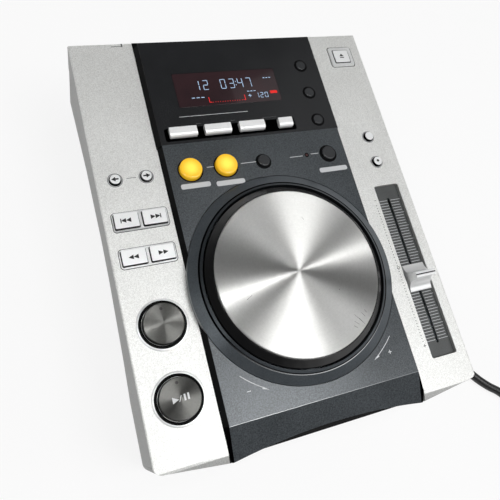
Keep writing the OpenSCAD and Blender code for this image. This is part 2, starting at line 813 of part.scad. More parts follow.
// Frames round the buttons of the two silver strips
module button_bezels() {
    color([0.7, 0.7, 0.7]) on_deck() {
        for (p = pad_rings) translate([p[0], p[1], 0]) rotate_extrude() polygon([
            [pad_r + key_gap, sleeve_z], [pad_ring_r - 1.45, sleeve_z], [pad_ring_r - 1.45, 0],
            [pad_ring_r, 0], [pad_ring_r - 0.3, 0.8], [pad_ring_r - 1.3, 1.2], [pad_r + key_gap, 1.2]
        ]);
        for (p = small_buttons) translate([p[0], p[1], 0]) rotate_extrude() polygon([
            [small_r + key_gap, sleeve_z], [small_ring_r - 0.45, sleeve_z], [small_ring_r - 0.45, 0],
            [small_ring_r, 0], [small_ring_r, bezel_t], [small_r + key_gap, bezel_t]
        ]);
        for (p = [track_at, search_at]) translate([p[0], p[1], 0]) difference() {
            union() {
                slab(search_bezel[0], search_bezel[1], bezel_t, 2);
                translate([0, 0, sleeve_z])
                    slab(search_bezel[0] - 0.9, search_bezel[1] - 0.9, -sleeve_z + eps, 1.7);
            }
            for (s = [-1, 1]) translate([s * search_x, 0, sleeve_z - 1])
                slab(search_key_w + 2 * key_gap, search_key_l + 2 * key_gap, 10, 0.7);
        }
        translate([eject_at[0], eject_at[1], 0]) difference() {
            union() {
                slab(eject_bezel[0], eject_bezel[1], 1, 1.5);
                translate([0, 0, sleeve_z])
                    slab(eject_bezel[0] - 3.1, eject_bezel[1] - 3.1, -sleeve_z + eps, 1.1);
            }
            translate([0, 0, sleeve_z - 1]) slab(eject_w + 2 * key_gap, eject_l + 2 * key_gap, 10, 0.7);
        }
    }
}

module fader_plate() {
    color([0.2, 0.2, 0.21]) on_deck() translate([fader_x, fader_mid, fader_top]) difference() {
        slab(fader_opening[0] + 2 * fader_seat, fader_opening[1] + 2 * fader_seat, fader_plate_t, 1.5);
        translate([0, 0, -1]) slab(fader_slot_w, fader_slot_l, 3, fader_slot_w / 2 - 0.01);
    }
}

module fader_body() {
    color([0.55, 0.56, 0.57]) on_deck() translate([fader_x, fader_mid, fader_top - fader_depth]) difference() {
        translate([-fader_size[0] / 2, -fader_size[1] / 2, 0])
            cube([fader_size[0], fader_size[1], fader_depth]);
        translate([-lever_t / 2 - 0.5, -fader_slot_l / 2, 1])
            cube([lever_t + 1, fader_slot_l, fader_depth]);
    }
}

// The knob's side view: two scoops that rise to a ridge across its middle
module knob_profile(base_z) {
    scoop_r = (knob_l - knob_ridge) / 2;
    scoop_z = base_z + knob_edge + scoop_r;
    ridge_x = knob_ridge / 2;
    difference() {
        union() {
            translate([-knob_l / 2, base_z]) square([knob_l, scoop_z - base_z]);
            translate([-ridge_x, base_z]) square([knob_ridge, knob_h - 1 - base_z]);
            translate([1 - ridge_x, base_z]) square([knob_ridge - 2, knob_h - base_z]);
            for (s = [-1, 1]) translate([s * (ridge_x - 1), knob_h - 1]) circle(r = 1, $fn = 32);
        }
        for (s = [-1, 1]) translate([s * knob_l / 2, scoop_z]) circle(r = scoop_r);
        translate([-knob_groove[0] / 2, knob_h - knob_groove[1]]) square([knob_groove[0], 1]);
    }
}

module tempo_knob() {
    base_z = -wall + knob_gap;
    side = knob_w / 2;
    lever_end = fader_top - fader_depth + 2.6;
    color([0.82, 0.82, 0.81]) on_deck() translate([fader_x, fader_rest, 0]) {
        intersection() {
            rotate([90, 0, 90]) linear_extrude(height = knob_w, center = true) knob_profile(base_z);
            rotate([90, 0, 0]) linear_extrude(height = knob_l + 1, center = true) polygon([
                [-side, base_z], [side, base_z], [side, base_z + knob_edge], [side - knob_lean, knob_h + 1],
                [knob_lean - side, knob_h + 1], [-side, base_z + knob_edge]
            ]);
        }
        translate([-lever_t / 2, -lever_l / 2, lever_end]) cube([lever_t, lever_l, base_z - lever_end + eps]);
    }
}

function key_places() = concat(
    small_buttons,
    [for (p = [track_at, search_at], s = [-1, 1]) [p[0] + s * search_x, p[1]]],
    [eject_at, hold_at, reloop_at, beat_at],
    [for (x = bar_x) [x, bar_y]],
    [for (y = mode_y) [mode_x, y]],
    [for (x = loop_x) [x, loop_y]]
);

module tact_switch(at, top_z) {
    translate([at[0] - switch_size / 2, at[1] - switch_size / 2, board_z + board_t - eps])
        cube([switch_size, switch_size, top_z - board_z - board_t - 1]);
    translate([at[0], at[1], board_z + board_t]) cylinder(r = stem_r, h = top_z - board_z - board_t);
}

module control_board() {
    board_x = half_w - wall - board_play;
    color([0.15, 0.4, 0.25]) on_deck() difference() {
        union() {
            translate([-board_x, board_y[0], board_z]) cube([2 * board_x, board_y[1] - board_y[0], board_t]);
            translate([-board_x, arm_y, board_z]) cube([arm_w, board_y[0] - arm_y + 1, board_t]);
            for (p = key_places()) tact_switch(p, switch_z);
            for (p = pad_rings) tact_switch(p, pad_switch_z);
        }
        // Room for the two rear screw bosses
        for (s = [-1, 1]) translate([s * screw_x, screw_at[2][1] - deck_y, board_z - 5])
            cylinder(r = boss_r + 1.5, h = 20);
    }
}

module rear_panel() {
    color([0.16, 0.16, 0.17]) difference() {
        translate([-rear_x, rear_face - tray_t, tray_z])
            cube([2 * rear_x, tray_t, rear_top_z - 2 * rear_gap - tray_z]);
        for (x = concat(audio_x, [digital_x]))
            translate([x, rear_face + 5, jack_z]) rotate([90, 0, 0]) cylinder(r = jack_neck_r, h = 20);
        translate([control_x, rear_face + 5, jack_z]) rotate([90, 0, 0]) cylinder(r = 4, h = 20);
        translate([power_x, rear_face, power_z]) rotate([90, 0, 0]) translate([0, 0, -5])
            slab(power_cap + 2 * key_gap, power_cap + 2 * key_gap, 20, 0.8);
        translate([lead_x, rear_face + 5, lead_z]) rotate([90, 0, 0]) cylinder(r = 6, h = 20);
    }
}

// Phono jacks stand out of the panel, and the small control jack ends flush with its nut
module rear_jacks() {
    inner = rear_face - tray_t;
    color([0.8, 0.7, 0.4]) {
        for (x = concat(audio_x, [digital_x])) difference() {
            union() {
                translate([x, rear_face + jack_len, jack_z]) rotate([90, 0, 0])
                    cylinder(r = jack_r, h = jack_len + eps);
                translate([x, rear_face, jack_z]) rotate([90, 0, 0])
                    cylinder(r = jack_neck_r, h = tray_t + eps);
                translate([x - 6, inner - 10, jack_z - 7]) cube([12, 10, 14]);
            }
            translate([x, rear_face + jack_len + 1, jack_z]) rotate([90, 0, 0])
                cylinder(r = jack_hole_r, h = jack_len + 1, $fn = 32);
        }
        difference() {
            union() {
                translate([control_x, rear_face + 1.5, jack_z]) rotate([90, 0, 0])
                    cylinder(r = 4, h = 1.6 + tray_t);
                translate([control_x - 5, inner - 12, jack_z - 6]) cube([10, 12, 12]);
            }
            translate([control_x, rear_face + 3, jack_z]) rotate([90, 0, 0])
                cylinder(r = control_r, h = 15, $fn = 32);
        }
    }
}

module power_switch() {
    inner = rear_face - tray_t;
    hole = power_cap + 2 * key_gap;
    color([0.1, 0.1, 0.1]) difference() {
        translate([power_x - 8, inner - 20, power_z - 8]) cube([16, 20, 16]);
        translate([power_x - hole / 2, inner - 14, power_z - hole / 2]) cube([hole, 20, hole]);
    }
}

module power_button() {
    inner = rear_face - tray_t;
    color([0.12, 0.12, 0.13])
        translate([power_x - power_cap / 2, inner - 14 + power_travel + 0.4, power_z - power_cap / 2])
            cube([power_cap, 14 - power_travel - 0.4 + tray_t + power_out, power_cap]);
}

// The sleeve that the lead comes out of, gripping the panel on both faces
module strain_relief() {
    inner = rear_face - tray_t;
    color([0.08, 0.08, 0.08]) translate([lead_x, inner - 5, lead_z]) rotate([-90, 0, 0])
        rotate_extrude() polygon([
            [lead_r, 0], [8, 0], [8, 5], [6, 5], [6, 5 + tray_t], [8, 5 + tray_t], [8, 7.5 + tray_t],
            [6.2, 9 + tray_t], [lead_r + 1.2, 6 + tray_t + relief_len], [lead_r, 6 + tray_t + relief_len]
        ]);
}

module base_chassis() {
    color([0.3, 0.3, 0.31]) difference() {
        union() {
            translate([-tray_x, tray_front, foot_h])
                cube([2 * tray_x, tray_rear - tray_front - tray_t, tray_t]);
            for (s = [-1, 1], w = tray_walls)
                translate([s * (tray_x - tray_t / 2) - tray_t / 2, w[0], foot_h])
                    cube([tray_t, w[1], tray_wall_h]);
            translate([-tray_x, tray_front, foot_h]) cube([2 * tray_x, tray_t, tray_lip_h]);
            for (p = leg_at) translate([p[0], p[1], tray_z - eps])
                cylinder(r = leg_r, h = loader_low - tray_z + eps);
            for (x = main_x, y = main_y) translate([post_place(x, main_x), post_place(y, main_y), tray_z - eps])
                cylinder(r = 3, h = post_h + eps);
            translate([-rear_x, rear_face - tray_t - 6, tray_z - eps]) cube([2 * rear_x, 6, 1.2]);
        }
        for (p = screw_at) translate([p[0], p[1], foot_h - 1]) cylinder(r = screw_r + 0.3, h = 4);
        for (p = foot_at) translate([p[0], p[1], foot_h - 1]) cylinder(r = peg_r, h = 4);
        for (x = [-60 : 10 : 60]) translate([x - vent_size[0] / 2, vent_y, foot_h - 1])
            cube([vent_size[0], vent_size[1], 4]);
    }
}

// A post's place, inside the board's edge at one end of a span
function post_place(edge, span) = edge + (edge == span[0] ? post_in : -post_in);

module feet() {
    color([0.1, 0.1, 0.1]) for (p = foot_at) translate([p[0], p[1], 0]) {
        cylinder(r1 = foot_r - 1, r2 = foot_r, h = foot_h);
        cylinder(r = peg_r, h = foot_h + peg_h);
    }
}

module base_screws() {
    color([0.4, 0.4, 0.42]) for (p = screw_at) translate([p[0], p[1], foot_h - head_h]) {
        difference() {
            cylinder(r = head_r, h = head_h);
            translate([-2, -0.4, -1]) cube([4, 0.8, 1.8]);
            translate([-0.4, -2, -1]) cube([0.8, 4, 1.8]);
        }
        cylinder(r = screw_r, h = head_h + tray_t + 10);
    }
}

module main_board() {
    top = tray_z + post_h + main_t;
    color([0.2, 0.45, 0.3]) {
        translate([main_x[0], main_y[0], tray_z + post_h])
            cube([main_x[1] - main_x[0], main_y[1] - main_y[0], main_t]);
        for (x = [main_x[0] + 28, (main_x[0] + main_x[1]) / 2 - 3.5, main_x[1] - 35])
            translate([x, main_y[0] + 35, top - eps]) cube(chip_size);
        for (x = [main_x[0] + 18, main_x[1] - 15]) translate([x, main_y[0] + 20, top])
            cylinder(r = capacitor_r, h = capacitor_h);
    }
}

module power_transformer() {
    color([0.45, 0.4, 0.3]) {
        translate([trafo_at[0], trafo_at[1], tray_z]) cube(trafo_size);
        translate([trafo_at[0], trafo_at[1] + (trafo_size[1] - trafo_core[0]) / 2, tray_z + trafo_size[2] - 1])
            cube([trafo_size[0], trafo_core[0], trafo_core[1]]);
        translate([
            trafo_at[0] + (trafo_size[0] - trafo_coil[0]) / 2,
            trafo_at[1] + (trafo_size[1] - trafo_coil[1]) / 2,
            tray_z + 2 * trafo_size[2]
        ]) cube(trafo_coil);
    }
}

module slot_fascia() {
    low = slot_z;
    high = slot_z + slot_h;
    depth_y = fascia_y[1] - fascia_y[0];
    color([0.08, 0.08, 0.09]) difference() {
        union() {
            translate([-fascia_x, fascia_y[0], skirt_z]) cube([2 * fascia_x, 3, low - skirt_z]);
            translate([-fascia_x, fascia_y[0], low - 3]) cube([2 * fascia_x, depth_y, 3]);
            translate([-fascia_x, fascia_y[0], low - eps]) cube([2 * fascia_x, depth_y, slot_h + 2 * eps]);
            difference() {
                translate([-fascia_x, fascia_y[0], high]) cube([2 * fascia_x, depth_y, 60]);
                translate([0, world_y(-(half_l + 1), -lip_drop) + 0.3 - arch_r, high])
                    cylinder(r = arch_r, h = 80, $fn = 360);
            }
        }
        // The disc's mouth, and the chin that rests on top
        translate([-mouth_x, fascia_y[0] - 1, low]) cube([2 * mouth_x, depth_y + 2, slot_h]);
        on_deck() translate([-80, -half_l - 20, chin_z]) cube([160, 60, 60]);
    }
}

// Felt strips along the slot's upper and lower edges
module slot_lips() {
    y = fascia_y[1];
    color([0.05, 0.05, 0.05]) {
        translate([-mouth_x, y, slot_z - 3]) cube([2 * mouth_x, 1, 3.3]);
        translate([-mouth_x, y, slot_z + slot_h - 0.3]) cube([2 * mouth_x, 1, 3.3]);
    }
}

module loader_frame() {
    low = loader_low + loader_t;
    color([0.62, 0.63, 0.65]) difference() {
        union() {
            translate([-loader_x, loader_y[0], loader_low])
                cube([2 * loader_x, loader_y[1] - loader_y[0], loader_t]);
            translate([-loader_x, loader_y[0], loader_high])
                cube([2 * loader_x, loader_y[1] - loader_y[0], loader_t]);
            for (s = [-1, 1]) translate([s * (loader_x - cheek_t / 2) - cheek_t / 2, loader_y[0], loader_low])
                cube([cheek_t, loader_y[1] - loader_y[0], loader_high - loader_low + loader_t]);
            for (s = [-1, 1], y = [rod_y[0], rod_y[1] - 6])
                translate([s * rod_x - 3, y, low - eps]) cube([6, 6, rod_z + 3 - low]);
        }
        translate([0, disc_y, loader_high - 1]) cylinder(r = clamp_neck_r + 1, h = 4);
        translate([-16, -40, loader_low - 1]) cube([32, 42, 4]);
        for (s = [-1, 1]) translate([s * rod_x, rod_y[0] - 1, rod_z]) rotate([-90, 0, 0])
            cylinder(r = axle_r, h = rod_y[1] - rod_y[0] + 2, $fn = 32);
        translate([-loader_x - 1, roller_y, roller_z]) rotate([0, 90, 0])
            cylinder(r = axle_r + bush_gap, h = 2 * loader_x + 2, $fn = 48);
    }
}

module guide_rods() {
    color([0.8, 0.8, 0.82]) for (s = [-1, 1]) translate([s * rod_x, rod_y[0], rod_z]) rotate([-90, 0, 0])
        cylinder(r = axle_r, h = rod_y[1] - rod_y[0], $fn = 32);
}

module spindle_motor() {
    low = loader_low + loader_t;
    color([0.7, 0.7, 0.72]) translate([0, disc_y, low]) difference() {
        union() {
            cylinder(r = motor_r, h = motor_h);
            cylinder(r = 3, h = motor_h + 1.6);
        }
        translate([0, 0, 2]) cylinder(r = 1 + bush_gap, h = 20, $fn = 48);
    }
}

// Soft roller that draws the disc in, waisted so that only the disc's edges touch it
module feed_roller() {
    inner = loader_x - cheek_t - 0.5;
    color([0.15, 0.15, 0.16]) translate([0, roller_y, roller_z]) rotate([0, 90, 0]) {
        for (s = [0, 1]) mirror([0, 0, s])
            cylinder(r1 = roller_mid_r, r2 = roller_r, h = inner);
        translate([0, 0, -loader_x - 0.5]) cylinder(r = axle_r, h = 2 * loader_x + 5.5, $fn = 48);
        translate([0, 0, loader_x + 1]) cylinder(r = 7, h = 3);
    }
}

module turntable() {
    top = disc_z - 1.5;
    shaft_z = loader_low + loader_t + 2.5;
    color([0.2, 0.2, 0.2]) translate([0, disc_y, 0]) {
        translate([0, 0, top - 2.5]) cylinder(r = turntable_r, h = 2.5);
        translate([0, 0, top - eps]) cylinder(r1 = 7.4, r2 = 6.4, h = 1.8);
        translate([0, 0, shaft_z]) cylinder(r = 1, h = top - 2 - shaft_z, $fn = 48);
    }
}

module pickup_sled() {
    color([0.3, 0.3, 0.33]) translate([0, sled_rest, rod_z]) difference() {
        union() {
            translate([-sled_size[0] / 2, -sled_size[1] / 2, -3]) cube(sled_size);
            translate([0, 0, sled_size[2] - 3 - eps]) cylinder(r = 4, h = 3);
        }
        for (s = [-1, 1]) translate([s * rod_x, -20, 0]) rotate([-90, 0, 0])
            cylinder(r = axle_r + bush_gap, h = 40, $fn = 32);
    }
}

module clamper() {
    color([0.75, 0.75, 0.76]) translate([0, disc_y, 0]) {
        translate([0, 0, loader_high + loader_t + 0.1]) cylinder(r = clamp_r, h = 1.5);
        translate([0, 0, loader_high - 0.1]) cylinder(r = clamp_neck_r, h = loader_t + 0.3);
    }
}

module power_cord() {
    color([0.04, 0.04, 0.04]) {
        swept_lead(lead_route);
        swept_lead(tail_route);
    }
}

module cord_coil() {
    color([0.05, 0.05, 0.05]) translate([coil_at[0], coil_at[1], coil_z])
        rotate_extrude($fn = 96) translate([coil_in, 0]) square([coil_out - coil_in, coil_h]);
}

module cord_tie() {
    color([0.1, 0.1, 0.1]) translate([coil_at[0], coil_at[1], coil_z - tie_t]) rotate([0, 0, tie_turn])
        rotate_extrude(angle = tie_angle, $fn = 96) difference() {
            translate([coil_in - tie_t, 0]) square([coil_out - coil_in + 2 * tie_t, coil_h + 2 * tie_t]);
            translate([coil_in, tie_t]) square([coil_out - coil_in, coil_h]);
        }
}

module power_plug() {
    color([0.06, 0.06, 0.06]) translate(plug_at) rotate([-90, 0, 0]) {
        cylinder(r = plug_neck_r, h = plug_neck_l);
        translate([0, 0, plug_neck_l - eps]) slab(plug_body[0], plug_body[1], plug_body[2], 3);
        for (s = [-1, 1]) translate([s * pin_x, 0, plug_neck_l + plug_body[2] - eps])
            cylinder(r = pin_r, h = pin_l, $fn = 32);
    }
}

top_cover();
centre_deck();
display_panel();
display_window();
display_module();
jog_collar();
slot_fascia();
slot_lips();
base_chassis();
rear_panel();
feet();
base_screws();
button_bezels();
fader_plate();
fader_body();
control_board();
jog_bearing();
main_board();
power_transformer();
rear_jacks();
power_switch();
strain_relief();
power_cord();
cord_coil();
cord_tie();
power_plug();
loader_frame();
guide_rods();
spindle_motor();
jog_rim();
jog_plate();
jog_spindle();
pad_button(pad_rings[0]);  // cue_button
pad_button(pad_rings[1]);  // play_button
search_key(track_at, -1);  // track_back_key
search_key(track_at, 1);  // track_next_key
search_key(search_at, -1);  // search_back_key
search_key(search_at, 1);  // search_next_key
strip_button(folder_at[0]);  // folder_back_button
strip_button(folder_at[1]);  // folder_next_button
eject_button();
strip_button(range_at);  // range_button
strip_button(lock_at);  // tempo_lock_button
effect_key([bar_x[0], bar_y], effect_key_w);  // effect_key_1
effect_key([bar_x[1], bar_y], effect_key_w);  // effect_key_2
effect_key([bar_x[2], bar_y], effect_key_w);  // effect_key_3
effect_key(hold_at, hold_w);  // hold_key
mode_button(mode_y[0]);  // mode_button_1
mode_button(mode_y[1]);  // mode_button_2
mode_button(mode_y[2]);  // mode_button_3
amber_button(loop_x[0]);  // loop_in_button
amber_button(loop_x[1]);  // loop_out_button
black_button(reloop_at, reloop_r);  // reloop_button
black_button(beat_at, beat_r);  // beat_loop_button
tempo_knob();
power_button();
feed_roller();
turntable();
pickup_sled();
clamper();
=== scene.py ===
import json
import math

import bpy
from mathutils import Matrix, Vector

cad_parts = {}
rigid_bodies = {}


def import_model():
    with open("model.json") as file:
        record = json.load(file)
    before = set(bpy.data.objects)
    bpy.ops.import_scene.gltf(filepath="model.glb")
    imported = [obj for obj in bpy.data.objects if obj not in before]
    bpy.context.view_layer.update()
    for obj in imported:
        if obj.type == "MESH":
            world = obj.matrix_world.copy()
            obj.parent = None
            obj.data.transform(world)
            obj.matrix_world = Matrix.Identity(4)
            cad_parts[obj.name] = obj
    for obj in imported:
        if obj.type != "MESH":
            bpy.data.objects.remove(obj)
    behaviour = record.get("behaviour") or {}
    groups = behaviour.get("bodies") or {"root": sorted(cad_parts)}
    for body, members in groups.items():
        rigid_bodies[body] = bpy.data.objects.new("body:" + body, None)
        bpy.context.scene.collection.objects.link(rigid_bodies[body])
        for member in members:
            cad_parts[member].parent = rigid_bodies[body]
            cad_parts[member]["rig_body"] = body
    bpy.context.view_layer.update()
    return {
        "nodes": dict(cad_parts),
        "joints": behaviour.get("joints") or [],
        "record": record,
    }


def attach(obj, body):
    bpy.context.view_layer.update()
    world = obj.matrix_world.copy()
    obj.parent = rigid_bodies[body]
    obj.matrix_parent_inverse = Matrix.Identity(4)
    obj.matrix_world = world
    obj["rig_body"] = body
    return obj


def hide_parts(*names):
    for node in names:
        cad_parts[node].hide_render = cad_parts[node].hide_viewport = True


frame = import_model()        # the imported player: its bodies, nodes, joints and record
nodes = frame["nodes"]

mm = 0.001

# The deck frame is the slope of the top: x to the right, y to the rear, z off the deck, in mm
jogJoint = next(j for j in frame["joints"] if j["name"] == "jog_turn")
jogY = -45.04
deckTilt = math.asin(-jogJoint["axis"][1])
deckFrame = (
    Matrix.Translation(Vector(jogJoint["pos_m"]))
    @ Matrix.Rotation(deckTilt, 4, "X")
    @ Matrix.Translation((0, -jogY * mm, 0))
    @ Matrix.Scale(mm, 4)
)

# The place in mm, the turn in degrees, the lens and its sensor in mm, the near limit in metres
camera = {
    "place": (-131.5708, -121.8524, 393.8414),
    "turn": (21.07963, -14.75504, -15.91436),
    "lens": 37.4223,
    "sensor": 36,
    "near": 0.01,
}


def addCamera():
    bpy.ops.object.camera_add(
        location=[v * mm for v in camera["place"]],
        rotation=[math.radians(a) for a in camera["turn"]],
    )
    seen = bpy.context.object
    seen.data.lens = camera["lens"]
    seen.data.sensor_width = camera["sensor"]
    seen.data.clip_start = camera["near"]
    bpy.context.scene.camera = seen


lead = {
    "radius": 3.5,
    "length": 1.94,
    # From the strain relief round the rear corner and forwards beside the player
    "route": [
        (80, 135.2, 30), (80, 146, 30), (80, 163, 30), (81, 176, 26), (84, 188, 18), (91, 198, 9.5),
        (104, 204, 4.6), (119, 204, 3.8), (134, 197, 3.8), (144, 184, 3.8), (148, 166, 3.8),
        (148, 130, 3.8), (147, 90, 3.8), (147, 10, 3.8), (148, -62, 3.8), (151, -90, 3.8),
        (157, -114, 3.8), (165, -133, 3.8), (174, -147.5, 3.8), (183.5, -158, 3.8),
        (193.5, -166.6, 3.8), (199, -175, 3.8), (201.5, -186, 3.8), (201.4, -197, 3.8),
    ],
    # Out of the coil's middle layer, round its outside and up to the plug
    "tail": [
        (202, -219.8, 11.3), (206.2, -232.9, 11.2), (214.2, -244.9, 10.3), (226.3, -254, 8.8),
        (241.2, -258.3, 7.7), (256.9, -256.5, 6.4), (271.2, -249.9, 4.9), (282.8, -239.1, 3.9),
        (290.6, -225.2, 3.7), (293, -214, 4.5), (293.5, -203, 6.2), (293.5, -192, 8), (293.5, -181, 8.6),
    ],
    "coilCentre": (243, -208),
    "coilRadii": (35, 42),       # inner and outer turns
    "coilHeights": (4.3, 11.3, 18.3),
    "coilAngles": (180, 1980),   # where the winding starts and ends, in degrees
    "coilStep": 15,              # degrees between the points of a turn
}


def glide(share):
    # From 0 to 1 with a soft start and end
    return (1 - math.cos(math.pi * min(max(share, 0), 1))) / 2


def coilTurns():
    inner, outer = lead["coilRadii"]
    low, middle, high = lead["coilHeights"]
    # Each stretch of the winding: first and last angle, radius and height at both ends
    stretches = [
        (180, 430, outer, outer, low, low), (430, 530, outer, inner, low, low),
        (530, 745, inner, inner, low, low), (745, 815, inner, inner, low, middle),
        (815, 1045, inner, inner, middle, middle), (1045, 1115, inner, inner, middle, high),
        (1115, 1330, inner, inner, high, high), (1330, 1430, inner, outer, high, high),
        (1430, 1645, outer, outer, high, high), (1645, 1715, outer, outer, high, middle),
        (1715, 1978, outer, outer, middle, middle),
    ]
    points = []
    for angle in range(*lead["coilAngles"], lead["coilStep"]):
        for first, last, r0, r1, z0, z1 in stretches:
            if angle <= last:
                share = glide((angle - first) / (last - first))
                r = r0 + (r1 - r0) * share
                z = z0 + (z1 - z0) * share
                break
        turn = math.radians(angle)
        points.append((
            lead["coilCentre"][0] + r * math.cos(turn),
            lead["coilCentre"][1] + r * math.sin(turn),
            z,
        ))
    return points


def addLead(rubber):
    points = lead["route"] + coilTurns() + lead["tail"]
    line = bpy.data.curves.new("mainsLead", "CURVE")
    line.dimensions = "3D"
    line.bevel_depth = lead["radius"] * mm
    line.bevel_resolution = 6
    line.resolution_u = 6
    line.use_fill_caps = True
    spline = line.splines.new("BEZIER")
    spline.bezier_points.add(len(points) - 1)
    for knot, place in zip(spline.bezier_points, points):
        knot.co = [v * mm for v in place]
        knot.handle_left_type = knot.handle_right_type = "AUTO"
    flex = bpy.data.objects.new("mainsLead", line)
    bpy.context.scene.collection.objects.link(flex)
    flex.data.materials.append(rubber)
    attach(flex, "player")
    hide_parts("power_cord", "cord_coil")
    return flex


class Wire:
    # A socket that takes part in sums: each sum adds its Math node
    def __init__(self, finish, socket):
        self.finish = finish
        self.socket = socket

    def sum(self, operation, *terms):
        return self.finish.node("ShaderNodeMath", {"operation": operation}, dict(enumerate(terms)))

    def __add__(self, other):
        return self.sum("ADD", self, other)

    def __radd__(self, other):
        return self.sum("ADD", other, self)

    def __sub__(self, other):
        return self.sum("SUBTRACT", self, other)

    def __rsub__(self, other):
        return self.sum("SUBTRACT", other, self)

    def __mul__(self, other):
        return self.sum("MULTIPLY", self, other)

    def __rmul__(self, other):
        return self.sum("MULTIPLY", other, self)

    def __truediv__(self, other):
        return self.sum("DIVIDE", self, other)

    def __rtruediv__(self, other):
        return self.sum("DIVIDE", other, self)

    def __gt__(self, other):
        return self.sum("GREATER_THAN", self, other)

    def ramp(self, low, high, first=0, last=1):
        # From first to last while the value goes from low to high
        return self.finish.node(
            "ShaderNodeMapRange", {"interpolation_type": "SMOOTHSTEP"},
            {"Value": self, "From Min": low, "From Max": high, "To Min": first, "To Max": last},
        )


class Finish:
    # One material: what is the same all over is set on the shader's own sockets
    def __init__(self, name, owner=None, **fixed):
        self.owner = owner or bpy.data.materials.new(name)
        self.owner.use_nodes = True
        self.tree = self.owner.node_tree
        self.shader = next(n for n in self.tree.nodes if n.type in ("BSDF_PRINCIPLED", "BACKGROUND"))
        for socket, value in fixed.items():
            self.shader.inputs[socket.replace("_", " ")].default_value = value

    def node(self, kind, settings=None, inputs=None, output=0):
        made = self.tree.nodes.new(kind)
        for name, value in (settings or {}).items():
            setattr(made, name, value)
        for name, value in (inputs or {}).items():
            self.join(value, made.inputs[name])
        return Wire(self, made.outputs[output])

    def join(self, value, socket):
        if isinstance(value, Wire):
            self.tree.links.new(value.socket, socket)
        else:
            socket.default_value = value

    def feed(self, **sockets):
        for name, value in sockets.items():
            self.join(value, self.shader.inputs[name.replace("_", " ")])

    def deck(self):
        # The place on the deck, in mm
        return self.node(
            "ShaderNodeMapping", {"vector_type": "TEXTURE"},
            {"Vector": self.node("ShaderNodeTexCoord", output="Object"),
             "Location": deckFrame.translation, "Rotation": (deckTilt, 0, 0), "Scale": (mm, mm, mm)},
        )

    def parts(self, place, centre=(0, 0, 0)):
        # x, y, z and the distance from the axis of a place in mm
        moved = self.node("ShaderNodeVectorMath", {"operation": "SUBTRACT"}, {0: place, 1: centre})
        split = self.node("ShaderNodeSeparateXYZ", None, {0: moved}).socket.node
        flat = self.node("ShaderNodeVectorMath", {"operation": "MULTIPLY"}, {0: moved, 1: (1, 1, 0)})
        away = self.node("ShaderNodeVectorMath", {"operation": "LENGTH"}, {0: flat}, "Value")
        return [Wire(self, s) for s in split.outputs] + [away]

    def noise(self, place, scale, detail=2):
        return self.node("ShaderNodeTexNoise", None, {"Vector": place, "Scale": scale, "Detail": detail})

    def mix(self, share, first, second):
        return self.node("ShaderNodeMix", {"data_type": "RGBA"}, {0: share, 6: first, 7: second}, 2)

    def bump(self, height, depth):
        # Depth in mm
        return self.node(
            "ShaderNodeBump", None, {"Height": height, "Distance": depth * mm, "Strength": 1}, "Normal"
        )


def tone(red, green, blue):
    # A screen colour, 0 to 255, as the shader's own
    def plain(v):
        v /= 255
        return v / 12.92 if v < 0.04045 else ((v + 0.055) / 1.055) ** 2.4
    return (plain(red), plain(green), plain(blue), 1)


deepBlack = tone(3, 3, 4)

